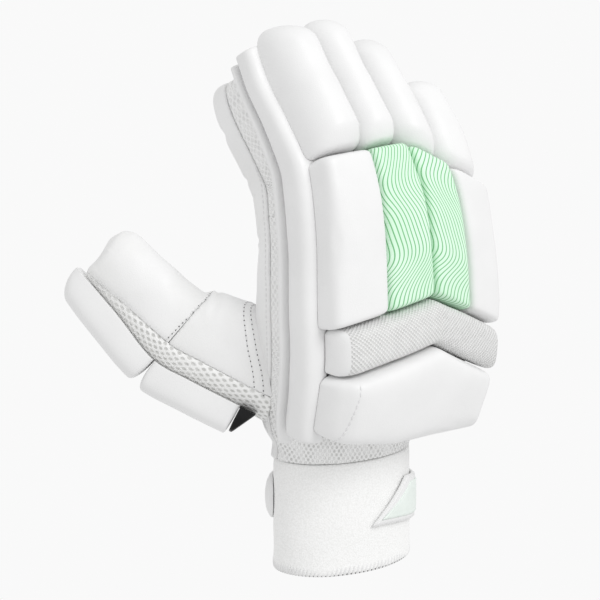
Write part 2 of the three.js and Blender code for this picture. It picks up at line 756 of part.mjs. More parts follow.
const bandLow = (across) => chevronLine(across) - BAND_LENGTH / handBend.length;
addPiece('knuckle_band', crossPad(-INDEX_SIDE + BAND_INSET, LITTLE_SIDE + BAND_OVERHANG,
  (across) => bandLow(across) + seam, (across) => chevronLine(across) - seam,
  BAND_HEIGHT, 0).subtract(handClear), netMesh);
addPiece('wrist_pad', crossPad(-INDEX_SIDE + WRIST_PAD_INSET, LITTLE_SIDE - WRIST_PAD_STOP,
  (across) => column(PAD_BOTTOM, 'along', (across + INDEX_SIDE) / (INDEX_SIDE + LITTLE_SIDE)),
  (across) => bandLow(across) - seam, WRIST_PAD_HEIGHT, WRIST_PAD_LEAN).subtract(handClear), leather);

// Strips: side is -1 for the index finger's side and 1 for the little finger's side.
const SIDE_ROLL = { near: SEAM, width: SIDE_ROLL_WIDTH, height: SIDE_ROLL_HEIGHT };
const SIDE_WELT = { near: SEAM + SIDE_ROLL_WIDTH + SEAM, width: WELT_WIDTH, height: WELT_HEIGHT };
const STRIPS = [
  { name: 'index_side_roll', side: -1, from: 0.06, to: 0.945, ...SIDE_ROLL },
  { name: 'index_side_welt', side: -1, from: 0.03, to: 0.93, ...SIDE_WELT },
  { name: 'little_side_roll', side: 1, from: 0.10, to: 0.75, ...SIDE_ROLL },
];
STRIPS.forEach((strip) => addPiece(strip.name, sideStrip(strip), leather));

addPiece('thumb_base_leather', thumbPulp.intersect(thumbStretch(-0.3, THUMB_JOINT)), palmLeather);
addPiece('thumb_tip_leather', thumbPulp.intersect(thumbStretch(THUMB_JOINT, 1.2)), palmLeather);
addPiece('thumb_mesh', thumbShell.subtract(pulpSide(-GAP / 2)), spacerMesh);

// Rolls on the back of the thumb: ends, and height as a share of the rolls' height. They reach
// through the glove's wall before they are cut to its skin.
const thumbSeam = SEAM / 2 / thumbBend.length;
const THUMB_ROLL_TO = 1.03;
const THUMB_ROLLS = [
  { name: 'thumb_tip_roll', from: THUMB_JOINT + thumbSeam, to: THUMB_ROLL_TO, rise: 1, ends: TIP_ROLL_ENDS },
  { name: 'thumb_base_roll', from: THUMB_ROLL_FROM, to: THUMB_JOINT - thumbSeam, rise: 1, ends: BAR_ENDS },
  { name: 'thumb_roll_end', from: THUMB_END_FROM, to: THUMB_ROLL_FROM - thumbSeam, rise: 0.9, ends: BAR_ENDS },
];

function thumbPad(roll) {
  return padSolid(roll.ends, BAR_PROFILE, roll.rise * THUMB_ROLL_HEIGHT, (at, share, rise) => {
    const along = THREE.MathUtils.lerp(roll.from, roll.to, at);
    const across = THREE.MathUtils.lerp(-THUMB_ROLL_WIDTH / 2, THUMB_ROLL_WIDTH / 2, share);
    return thumbBend.place(across, rise > 0 ? -rise : GLOVE_WALL, along);
  }).subtract(thumbClear).subtract(handClear);
}

THUMB_ROLLS.forEach((roll) => {
  addPiece(roll.name, thumbPad(roll), roll.name === 'thumb_roll_end' ? darkFoam : leather);
});

export default glove;
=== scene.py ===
# Looks of a right-hand cricket batting glove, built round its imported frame.
# The frame is in metres: +Z from the wrist to the fingertips, -Y out of the back of the
# hand, the thumb towards -X and +Y. Lines and sections below are in millimetres.

import json
import math

import bpy
import numpy as np
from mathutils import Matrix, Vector, noise
from mathutils.bvhtree import BVHTree

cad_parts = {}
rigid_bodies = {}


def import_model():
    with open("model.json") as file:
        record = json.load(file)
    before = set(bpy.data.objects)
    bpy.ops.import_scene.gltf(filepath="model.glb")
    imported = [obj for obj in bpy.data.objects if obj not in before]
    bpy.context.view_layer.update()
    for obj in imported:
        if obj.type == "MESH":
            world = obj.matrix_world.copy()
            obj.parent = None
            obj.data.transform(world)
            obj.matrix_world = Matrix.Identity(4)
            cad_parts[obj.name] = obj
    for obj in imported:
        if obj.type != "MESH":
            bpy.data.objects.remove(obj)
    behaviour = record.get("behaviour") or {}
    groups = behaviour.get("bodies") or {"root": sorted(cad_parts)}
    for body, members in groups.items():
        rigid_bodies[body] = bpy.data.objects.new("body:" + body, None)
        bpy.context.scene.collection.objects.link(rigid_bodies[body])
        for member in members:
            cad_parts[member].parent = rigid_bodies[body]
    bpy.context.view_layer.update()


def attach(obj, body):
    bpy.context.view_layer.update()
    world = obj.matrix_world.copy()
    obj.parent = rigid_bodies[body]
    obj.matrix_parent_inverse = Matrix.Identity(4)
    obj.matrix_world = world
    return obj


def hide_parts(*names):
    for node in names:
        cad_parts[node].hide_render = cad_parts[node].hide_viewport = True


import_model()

MM = 0.001

# Sizes of the glove
CUFF_WIDTH, CUFF_DEPTH, CUFF_HEIGHT, CUFF_WALL, CUFF_SEAM = 80.0, 54.0, 56.5, 3.0, 0.3
STRAP_LOW, STRAP_WIDTH = 18.0, 23.0
STRAP_PULL_LIFT, STRAP_SEWN_LIFT = 5.0, 6.0
STRAP_THICKNESS, STRAP_END_THICKNESS = 2.2, 4.2
STRAP_GAP, STRAP_SEWN_GAP = 0.5, 0.1
PATCH_BORDER, PATCH_GAP, PATCH_THICKNESS = 3.0, 0.3, 0.9
STRAP_TURN_LOW, STRAP_TURN_HIGH = math.radians(-101), math.radians(-62)
STRAP_TURN_END, PATCH_TURN_END = math.radians(152), math.radians(-8)

HAND_LENGTH, KNUCKLE_SET, FINGER_CURL = 211.5, 34.0, 51.0
INDEX_SIDE, LITTLE_SIDE = 51.0, 63.0
HAND_DEPTH, FINGER_DEPTH, CROWN = 63.0, 46.0, 4.5
FINGER_FILL = 2.5
LEATHER_EDGE = 32.5
KNUCKLE_CUT = 0.56
SKIN = 1.7

BAR_HEIGHT, TIP_ROLL_HEIGHT = 13.5, 20.5
BAND_HEIGHT, BAND_LENGTH, BAND_INSET, BAND_OVERHANG = 15.0, 22.0, 4.0, 2.0
WRIST_PAD_HEIGHT, WRIST_PAD_LENGTH = 18.5, 36.0
WRIST_PAD_INSET, WRIST_PAD_STOP, WRIST_PAD_LEAN = 2.0, 5.0, 8.0
SIDE_ROLL_WIDTH, SIDE_ROLL_HEIGHT, WELT_WIDTH, WELT_HEIGHT = 17.0, 5.5, 5.6, 4.8

THUMB_TURN, THUMB_TILT = math.radians(45), math.radians(10)
THUMB_REACH, THUMB_RISE, THUMB_SET = 127.0, 141.0, 35.0
THUMB_WIDTH, THUMB_DEPTH, THUMB_MESH_WIDTH = 34.0, 50.0, 12.5
THUMB_ROLL_HEIGHT, THUMB_ROLL_WIDTH = 14.0, 31.0
THUMB_JOINT, THUMB_ROLL_FROM, THUMB_END_FROM = 0.545, 0.155, 0.075

SEAM = 0.8
SINK = 0.5

# Line on which the padding sits: up, cuff, knuckle, curl
HAND_LINE = [
    (0.000, 0.93, 0.0, 0.000), (0.105, 0.45, 0.5, 0.000), (0.247, 0.00, 1.0, 0.000),
    (0.346, 0.00, 1.0, 0.010), (0.441, 0.00, 1.0, 0.039), (0.538, 0.00, 1.0, 0.076),
    (0.634, 0.00, 1.0, 0.141), (0.699, 0.00, 1.0, 0.229), (0.787, 0.00, 1.0, 0.475),
    (0.867, 0.00, 1.0, 0.722), (0.937, 0.00, 1.0, 0.871), (1.000, 0.00, 1.0, 1.000),
]

# Sections of the hand: at, index, little, cuff, hand, crown, square
HAND_SECTIONS = np.array([
    (0.00, 0.00, 0.00, 1.0, 0.00, 0.4, 2.0), (0.04, 0.50, 0.14, 0.7, 0.30, 0.4, 2.1),
    (0.10, 0.82, 0.34, 0.4, 0.60, 0.6, 2.4), (0.17, 0.92, 0.60, 0.2, 0.80, 0.8, 2.7),
    (0.24, 1.00, 0.84, 0.0, 1.00, 0.9, 3.0), (0.33, 1.00, 1.00, 0.0, 0.90, 1.0, 3.2),
    (0.42, 0.91, 1.00, 0.0, 0.75, 1.0, 3.4), (0.49, 0.82, 0.95, 0.0, 0.60, 1.0, 3.4),
    (0.56, 0.77, 0.90, 0.0, 0.30, 0.9, 3.4), (0.67, 0.68, 0.88, 0.0, 0.00, 0.5, 3.2),
    (1.00, 0.66, 0.86, 0.0, 0.00, 0.3, 3.0),
])

# Lines between the fingers: at, then line 0 to line 4 as shares of the width
FINGER_LINES = np.array([
    (0.29, 0.000, 0.291, 0.574, 0.813, 1.035), (0.54, 0.000, 0.290, 0.556, 0.785, 1.013),
    (0.67, 0.000, 0.283, 0.515, 0.735, 0.990), (1.00, 0.000, 0.270, 0.495, 0.735, 0.980),
])

# Fingers: name, sleeve end, roll end, seam on the index side, seam on the little side, rise
FINGERS = [
    ("index", 0.915, 0.975, 0.665, 0.669, 0.97), ("middle", 0.920, 0.985, 0.669, 0.673, 0.80),
    ("ring", 0.870, 0.935, 0.670, 0.628, 0.73), ("little", 0.775, 0.825, 0.622, 0.574, 0.58),
]

CHEVRON = np.array([(0.00, 0.313), (0.57, 0.352), (1.03, 0.258)])
PAD_BOTTOM = np.array([(0.00, 0.088), (0.35, 0.060), (1.00, 0.050)])

# Thumb line: reach, rise. Thumb sections: at, width, depth, mesh
THUMB_LINE = [(0.268, 0.482), (0.398, 0.545), (0.584, 0.630), (0.725, 0.702), (0.870, 0.863), (1.0, 1.0)]
THUMB_SECTIONS = np.array([
    (-0.10, 1.05, 1.20, 1.00), (0.155, 1.05, 1.00, 0.95), (0.375, 1.00, 0.94, 0.98),
    (0.545, 0.97, 0.87, 1.00), (0.790, 0.93, 0.80, 0.60), (0.930, 0.86, 0.78, 0.36),
    (1.000, 0.70, 0.67, 0.26),
])


# Numeric tools
def lerp(a, b, share):
    return a + (b - a) * share


def unit(vectors):
    return vectors / np.maximum(np.linalg.norm(vectors, axis=-1, keepdims=True), 1e-9)


def smoothstep(x, low, high):
    t = np.clip((x - low) / (high - low), 0, 1)
    return t * t * (3 - 2 * t)


def curve_through(xs, ys):
    """A smooth function through points that never overshoots them."""
    xs, ys = np.array(xs, float), np.array(ys, float)
    step = np.diff(xs)
    slope = np.diff(ys) / step
    ease = np.zeros(len(xs))
    both = slope[:-1] * slope[1:]
    total = slope[:-1] + slope[1:]
    ease[1:-1] = np.where(both > 0, 2 * both / np.where(total == 0, 1, total), 0)
    ease[0], ease[-1] = slope[0], slope[-1]

    def value(x):
        x = np.clip(np.asarray(x, float), xs[0], xs[-1])
        i = np.clip(np.searchsorted(xs, x, side="right") - 1, 0, len(step) - 1)
        t = (x - xs[i]) / step[i]
        t2, t3 = t * t, t * t * t
        return (
            (2 * t3 - 3 * t2 + 1) * ys[i] + (t3 - 2 * t2 + t) * step[i] * ease[i]
            + (3 * t2 - 2 * t3) * ys[i + 1] + (t3 - t2) * step[i] * ease[i + 1]
        )

    return value


def table_curves(table):
    return [curve_through(table[:, 0], table[:, k]) for k in range(1, table.shape[1])]


def running(steps):
    return np.concatenate([[0], np.cumsum(steps)])


def lumps(points, size, seed):
    """Smooth noise between -1 and 1 at points in millimetres, for lumps of that size."""
    shift = Vector((seed * 7.31, seed * 3.17, seed * 5.77))
    flat = np.asarray(points, float).reshape(-1, 3) / size
    values = [noise.noise(Vector(p) + shift) for p in flat]
    return np.array(values).reshape(np.shape(points)[:-1])


def uneven(points, *layers):
    """Layers of lumps, each as depth, size and seed."""
    return sum(depth * lumps(points, size, seed) for depth, size, seed in layers)


# A curved line that carries sections: across is sideways, deep is towards the palm or pulp,
# and along is the share of the line's length.
class Bend:
    COUNT, STEPS, CHUNK = 600, 200, 20000

    def __init__(self, line, sideways):
        self.side = np.array(sideways, float)
        raw = self.through(np.array(line, float))
        run = running(np.linalg.norm(np.diff(raw, axis=0), axis=1))
        self.length = run[-1]
        even = np.linspace(0, self.length, self.COUNT + 1)
        self.points = np.stack([np.interp(even, run, raw[:, k]) for k in range(3)], 1)
        self.tangents = unit(np.gradient(self.points, axis=0))

    def through(self, line):
        """Centripetal Catmull-Rom curve through the points."""
        ends = np.vstack([2 * line[0] - line[1], line, 2 * line[-1] - line[-2]])
        out = []
        t = np.linspace(0, 1, self.STEPS, endpoint=False)[:, None]
        for p0, p1, p2, p3 in zip(ends, ends[1:], ends[2:], ends[3:]):
            d0, d1, d2 = (math.sqrt(np.linalg.norm(b - a)) for a, b in ((p0, p1), (p1, p2), (p2, p3)))
            m1 = ((p1 - p0) / d0 - (p2 - p0) / (d0 + d1) + (p2 - p1) / d1) * d1
            m2 = ((p2 - p1) / d1 - (p3 - p1) / (d1 + d2) + (p3 - p2) / d2) * d1
            out.append(p1 + m1 * t + (3 * (p2 - p1) - 2 * m1 - m2) * t**2 + (2 * (p1 - p2) + m1 + m2) * t**3)
        return np.vstack([*out, line[-1:]])

    def place(self, across, deep, along):
        across, deep, along = np.broadcast_arrays(*(np.asarray(v, float) for v in (across, deep, along)))
        on = np.clip(along, 0, 1)
        x = on * self.COUNT
        i = np.minimum(x.astype(int), self.COUNT - 1)
        w = (x - i)[..., None]
        at = self.points[i] * (1 - w) + self.points[i + 1] * w
        forward = unit(self.tangents[i] * (1 - w) + self.tangents[i + 1] * w)
        inward = np.cross(forward, self.side)
        beyond = ((along - on) * self.length)[..., None]
        return at + forward * beyond + self.side * across[..., None] + inward * deep[..., None]

    def locate(self, points):
        """Across, deep and along of points near the line."""
        across = (points - self.points[0]) @ self.side
        nearest = np.empty(len(points), int)
        flat_line = self.points - np.outer((self.points - self.points[0]) @ self.side, self.side)
        flat = points - np.outer(across, self.side)
        for i in range(0, len(points), self.CHUNK):
            part = flat[i:i + self.CHUNK]
            gap = (part**2).sum(1)[:, None] - 2 * part @ flat_line.T + (flat_line**2).sum(1)[None]
            nearest[i:i + self.CHUNK] = gap.argmin(1)
        offset = points - self.points[nearest]
        forward = self.tangents[nearest]
        along = nearest / self.COUNT + (offset * forward).sum(1) / self.length
        inward = np.cross(forward, self.side)
        return across, (offset * inward).sum(1), along


HAND = Bend(
    [(0, curl * FINGER_CURL - knuckle * KNUCKLE_SET - cuff * CUFF_DEPTH / 2,
      CUFF_HEIGHT + CUFF_SEAM + up * HAND_LENGTH) for up, cuff, knuckle, curl in HAND_LINE],
    (1, 0, 0),
)
thumb_side = np.array([
    -math.sin(THUMB_TURN) * math.cos(THUMB_TILT),
    -math.cos(THUMB_TURN) * math.cos(THUMB_TILT),
    math.sin(THUMB_TILT),
])
thumb_out = np.array([-math.cos(THUMB_TURN), math.sin(THUMB_TURN), 0])
thumb_up = np.cross(thumb_out, thumb_side)
THUMB = Bend(
    [thumb_out * reach * THUMB_REACH + thumb_up * rise * THUMB_RISE + thumb_side * THUMB_SET
     for reach, rise in THUMB_LINE],
    thumb_side,
)

index_swell, little_swell, cuff_share, hand_share, crown_share, hand_square = table_curves(HAND_SECTIONS)
line_curves = table_curves(FINGER_LINES)
thumb_width, thumb_depth, thumb_mesh = table_curves(THUMB_SECTIONS)


def hand_box(along):
    """Left, right, near and far of the hand's section."""
    left = -lerp(CUFF_WIDTH / 2, INDEX_SIDE, index_swell(along))
    right = lerp(CUFF_WIDTH / 2, LITTLE_SIDE, little_swell(along))
    cuff, hand = cuff_share(along), hand_share(along)
    near = -crown_share(along) * CROWN
    return left, right, near, near + cuff * CUFF_DEPTH + hand * HAND_DEPTH + (1 - cuff - hand) * FINGER_DEPTH


def crown_at(across, along):
    left, right, near, _ = hand_box(along)
    share = (2 * across - left - right) / (right - left)
    return -near * np.maximum(0, 1 - share * share)


def finger_line(number, along):
    left, right, _, _ = hand_box(along)
    return lerp(left, right, line_curves[number](along))


# The chevron, with its peak and corners a little softened
CHEVRON_PAST, CHEVRON_STEPS, CHEVRON_SOFT = 4, 400, 8
chevron_x = np.linspace(-INDEX_SIDE, LITTLE_SIDE + CHEVRON_PAST, CHEVRON_STEPS)
chevron_y = np.interp((chevron_x + INDEX_SIDE) / (INDEX_SIDE + LITTLE_SIDE), CHEVRON[:, 0], CHEVRON[:, 1])
kernel = np.hanning(2 * CHEVRON_SOFT + 1)
chevron_y[CHEVRON_SOFT:-CHEVRON_SOFT] = np.convolve(chevron_y, kernel / kernel.sum(), "valid")


def chevron_line(across):
    return np.interp(across, chevron_x, chevron_y)


def pad_bottom(across):
    return np.interp((across + INDEX_SIDE) / (INDEX_SIDE + LITTLE_SIDE), PAD_BOTTOM[:, 0], PAD_BOTTOM[:, 1])


# Node materials
class Nodes:
    """Short way to write a material's nodes."""

    def __init__(self, name, rough=0.5, **sockets):
        self.material = bpy.data.materials.new(name)
        self.material.use_nodes = True
        self.tree = self.material.node_tree
        self.shader = self.tree.nodes["Principled BSDF"]
        self.shader.inputs["Roughness"].default_value = rough
        for socket, value in sockets.items():
            self.shader.inputs[socket.replace("_", " ")].default_value = value
        self.place = self.add("ShaderNodeTexCoord").outputs

    def add(self, kind, inputs=(), **settings):
        node = self.tree.nodes.new(kind)
        for key, value in settings.items():
            setattr(node, key, value)
        for key, value in dict(inputs).items():
            if isinstance(value, bpy.types.NodeSocket):
                self.tree.links.new(value, node.inputs[key])
            else:
                node.inputs[key].default_value = value
        return node

    def math(self, operation, a, b=0.0, c=0.0):
        return self.add("ShaderNodeMath", {0: a, 1: b, 2: c}, operation=operation).outputs[0]

    def vector(self, operation, a, b=(0, 0, 0)):
        return self.add("ShaderNodeVectorMath", {0: a, 1: b}, operation=operation)

    def noise(self, scale, detail=2.0):
        inputs = {"Vector": self.place["Object"], "Scale": scale, "Detail": detail}
        return self.add("ShaderNodeTexNoise", inputs).outputs["Fac"]

    def cells(self, scale):
        inputs = {"Vector": self.place["Object"], "Scale": scale}
        return self.add("ShaderNodeTexVoronoi", inputs).outputs["Distance"]

    def band(self, value, low, high, out_low=0.0, out_high=1.0, kind="SMOOTHSTEP"):
        inputs = {"Value": value, "From Min": low, "From Max": high, "To Min": out_low, "To Max": out_high}
        return self.add("ShaderNodeMapRange", inputs, interpolation_type=kind).outputs[0]

    def mix(self, share, a, b):
        node = self.add("ShaderNodeMix", {"Factor": share}, data_type="RGBA")
        for key, value in ((6, a), (7, b)):
            if isinstance(value, bpy.types.NodeSocket):
                self.tree.links.new(value, node.inputs[key])
            else:
                node.inputs[key].default_value = (*value, 1)
        return node.outputs[2]

    def colour(self, value):
        self.tree.links.new(value, self.shader.inputs["Base Color"])

    def rough(self, value):
        self.tree.links.new(value, self.shader.inputs["Roughness"])

    def bump(self, height, distance, strength=1.0):
        inputs = {"Height": height, "Distance": distance, "Strength": strength}
        last = getattr(self, "normal", None)
        if last is not None:
            inputs["Normal"] = last
        self.normal = self.add("ShaderNodeBump", inputs).outputs[0]
        self.tree.links.new(self.normal, self.shader.inputs["Normal"])

    def lattice(self, across, along):
        """Distance, in cells, to the nearest point of a staggered grid over the UV map in mm."""
        scaled = self.vector("DIVIDE", self.place["UV"], (across, along, 1)).outputs[0]
        distances = []
        for shift in (0.0, 0.5):
            moved = self.vector("ADD", scaled, (shift, shift, 0)).outputs[0]
            cell = self.vector("FRACTION", moved).outputs[0]
            centred = self.vector("SUBTRACT", cell, (0.5, 0.5, 0.5)).outputs[0]
            flat = self.vector("MULTIPLY", centred, (1, 1, 0)).outputs[0]
            distances.append(self.vector("LENGTH", flat).outputs["Value"])
        return self.math("MINIMUM", *distances)


def leather_material(name, colour, shade, rough=0.42, grain=0.00006):
    m = Nodes(name, rough, Specular_IOR_Level=0.42)
    m.colour(m.mix(m.band(m.noise(34, 3), 0.3, 0.7), colour, shade))
    m.rough(m.band(m.noise(220, 2), 0.3, 0.7, rough - 0.05, rough + 0.07))
    m.bump(m.cells(1500), grain, 0.55)
    m.bump(m.noise(420, 3), 0.00012, 0.35)
    return m.material


def mesh_material(name, across, along, hole, thread, dark, patchy, fade):
    """Knitted mesh: rows of small holes, with the knit's fine ribs between them. The holes are painted in
    the dark colour as painted shade of the layer below; this painted shade shows unevenly, as patchy says,
    and is fainter along the piece: fade holds from, to and share."""
    m = Nodes(name, 0.85, Sheen_Weight=0.25)
    spot = m.lattice(across, along)
    # Painted shade: the dark colour is mixed in where the holes open, for the shade of the layer below
    open_share = m.band(spot, hole * 0.62, hole * 1.25, 1, 0)
    ink_and_hole_shade = m.math("MULTIPLY", open_share, m.band(m.noise(150, 2), *patchy))
    lying = m.add("ShaderNodeSeparateXYZ", {"Vector": m.place["UV"]}).outputs[1]
    ink_and_hole_shade = m.math("MULTIPLY", ink_and_hole_shade, m.band(lying, fade[0], fade[1], 1, fade[2]))
    m.colour(m.mix(ink_and_hole_shade, thread, dark))
    m.bump(m.band(spot, hole * 0.5, hole * 1.6), 0.0005, 0.8)
    m.bump(m.cells(1900), 0.00012, 0.5)
    return m.material


NET_PITCH = 2.05


def net_material():
    m = Nodes("embossed_net", 0.62, Sheen_Weight=0.15)
    raised = m.band(m.lattice(NET_PITCH, NET_PITCH), 0.10, 0.42)
    uneven = m.band(m.noise(240, 2), 0.3, 0.7, 0.55, 1.0)
    # Painted shade: the hollows between the raised net are painted darker, unevenly
    hollow_shade = m.math("MULTIPLY", m.math("SUBTRACT", 1.0, raised), uneven)
    m.colour(m.mix(hollow_shade, (0.88, 0.88, 0.875), (0.66, 0.66, 0.65)))
    m.bump(raised, 0.00045, 0.9)
    m.bump(m.noise(900, 2), 0.0001, 0.5)
    return m.material


# Printed lines, in mm: their pitch and lean, and their waves as length, start and reach
LINE_PITCH, LINE_LEAN = 2.1, -0.10
SWAY, RIPPLE = (58, 0.4, 6.0), (23, 1.7, 0.9)


def print_material():
    """Printed leather: a mint ground with fine, even waves that run down the bar."""
    m = Nodes("green_wave_print", 0.45, Specular_IOR_Level=0.4)
    parts = m.add("ShaderNodeSeparateXYZ", {"Vector": m.place["UV"]}).outputs

    def wave(length, start, reach):
        turns = m.math("MULTIPLY_ADD", parts[1], 2 * math.pi / length, start)
        return m.math("MULTIPLY", m.math("SINE", turns), reach)

    swayed = m.math("ADD", parts[0], wave(*SWAY))
    lean = m.math("MULTIPLY_ADD", parts[1], LINE_LEAN, wave(*RIPPLE))
    line = m.math("FRACT", m.math("DIVIDE", m.math("ADD", swayed, lean), LINE_PITCH))
    edge = m.math("ABSOLUTE", m.math("SUBTRACT", line, 0.5))
    ink_and_hole_shade = m.band(edge, 0.07, 0.19, 1, 0)
    ground = m.mix(m.band(m.noise(40, 2), 0.3, 0.7), (0.69, 0.95, 0.74), (0.75, 0.98, 0.80))
    m.colour(m.mix(ink_and_hole_shade, ground, (0.17, 0.50, 0.21)))
    m.rough(m.band(ink_and_hole_shade, 0, 1, 0.48, 0.36, "LINEAR"))
    m.bump(m.cells(1500), 0.00006, 0.5)
    m.bump(ink_and_hole_shade, 0.00005, 0.6)
    return m.material


def towelling_material():
    m = Nodes("towelling", 0.95, Sheen_Weight=0.5, Sheen_Roughness=0.6)
    pile = m.cells(1150)
    m.colour(m.mix(m.band(pile, 0.2, 0.8), (0.96, 0.96, 0.955), (0.90, 0.90, 0.89)))
    m.bump(pile, 0.0004, 0.3)
    m.bump(m.noise(1700, 3), 0.0003, 0.4)
    return m.material


def plain_material(name, colour, shade, rough, bump_scale, bump, **sockets):
    m = Nodes(name, rough, **sockets)
    m.colour(m.mix(m.band(m.noise(90, 3), 0.3, 0.7), colour, shade))
    m.bump(m.noise(bump_scale, 3), bump, 0.5)
    return m.material


LEATHER = leather_material("white_leather", (0.86, 0.86, 0.86), (0.83, 0.83, 0.83))
PALM = leather_material("soft_palm_leather", (0.88, 0.88, 0.88), (0.84, 0.84, 0.835), 0.52, 0.00008)
# The second grey of each mesh is the painted shade in its holes
SPACER = mesh_material("spacer_mesh", 3.2, 4.2, 0.21, (0.90, 0.90, 0.895), (0.62, 0.62, 0.61),
                       (0.40, 0.62, 0.10, 1.0), (14, 34, 0.45))
THUMB_NET = mesh_material("thumb_mesh_cloth", 4.4, 5.6, 0.20, (0.95, 0.95, 0.94), (0.62, 0.62, 0.60),
                          (0.30, 0.55, 0.70, 1.0), (78, 112, 0.25))
NET = net_material()
PRINT = print_material()
TOWEL = towelling_material()
PATCH = plain_material("patch_cloth", (0.84, 0.90, 0.86), (0.80, 0.86, 0.82), 0.45, 1600, 0.00006)
DARK = plain_material("dark_bound_end", (0.004, 0.004, 0.0045), (0.009, 0.009, 0.01), 0.24, 500, 0.00012,
                      Specular_IOR_Level=0.20)
THREAD = plain_material("white_thread", (0.84, 0.84, 0.84), (0.78, 0.78, 0.78), 0.6, 4000, 0.0001)
# Near-black dots of painted shade, for the needle holes and the gaps along the hem
HOLE_SHADE = plain_material("painted_shade_dot", (0.10, 0.10, 0.10), (0.16, 0.16, 0.16), 0.8, 3000, 0.00005)


# Pieces
def add_object(name, data):
    thing = bpy.data.objects.new(name, data)
    bpy.context.scene.collection.objects.link(thing)
    return thing


def new_piece(name, points, faces, material, nodes=(), uv=None):
    mesh = bpy.data.meshes.new(name)
    mesh.from_pydata((points * MM).tolist(), [], faces if isinstance(faces, list) else faces.tolist())
    mesh.polygons.foreach_set("use_smooth", np.ones(len(mesh.polygons), bool))
    if uv is not None:
        corners = np.empty(len(mesh.loops), np.int32)
        mesh.loops.foreach_get("vertex_index", corners)
        mesh.uv_layers.new(name="UVMap").data.foreach_set("uv", uv[corners].astype(np.float32).ravel())
    mesh.materials.append(material)
    piece = add_object(name, mesh)
    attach(piece, "root")
    if nodes:
        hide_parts(*nodes)
    return piece


def grid_faces(index):
    """Quads over a grid of vertex numbers."""
    return np.stack([index[:-1, :-1], index[:-1, 1:], index[1:, 1:], index[1:, :-1]], -1).reshape(-1, 4)


def vertex_grid(rows, columns, closed=False):
    """Vertex numbers in rows; a closed grid has its first column again at the end."""
    index = np.arange(rows * columns).reshape(rows, columns)
    return np.hstack([index, index[:, :1]]) if closed else index


def tube_faces(rows, count):
    """Triangles round rings of points, with the ends closed to the two points after the rings."""
    index = vertex_grid(rows, count, True)
    sides = grid_faces(index)
    caps = [np.stack([index[0, 1:], index[0, :-1], np.full(count, rows * count)], 1),
            np.stack([index[-1, :-1], index[-1, 1:], np.full(count, rows * count + 1)], 1)]
    return np.vstack([sides[:, :3], sides[:, [0, 2, 3]], *caps])


def mesh_points(mesh):
    flat = np.empty(len(mesh.vertices) * 3, np.float32)
    mesh.vertices.foreach_get("co", flat)
    return flat.reshape(-1, 3).astype(float)


def facing_out(points, faces):
    """The faces of a closed piece, turned over if its volume comes out below zero."""
    first, *others = (points[column] for column in faces.T)
    volume = sum((first * np.cross(b, c)).sum() for b, c in zip(others, others[1:]))
    return faces[:, ::-1] if volume < 0 else faces


# Padding. A pad is a grid over its length and width: its height follows a rounded section
# across it and rounded ends along it, and a flat back closes it against the glove.
PADS = []
PAD_FILL, PAD_BACK, HELD_BELOW = 0.8, 0.4, 1.2
DENTS = ((0.30, 22, 0), (0.12, 7, 50))
PUCKER, PUCKER_PITCH, PUCKER_REACH = 0.22, 4.6, 2.6


def end_rows(edge, roundness, count=8):
    turn = np.linspace(0, math.pi / 2, count + 1)[:-1]
    return edge * (1 - np.cos(turn) ** (2 / roundness)), np.sin(turn) ** (2 / roundness)


def plan_corner(from_end, radius):
    """How far a rounded corner draws in the side, by distance from the end."""
    left = np.clip(radius - from_end, 0, radius)
    return radius - np.sqrt(np.maximum(radius**2 - left**2, 0))


def rounded(from_edge, reach):
    """Height share of a round edge that reaches its full height at the reach."""
    return np.sqrt(np.clip(1 - (1 - np.minimum(from_edge / reach, 1)) ** 2, 0, 1))


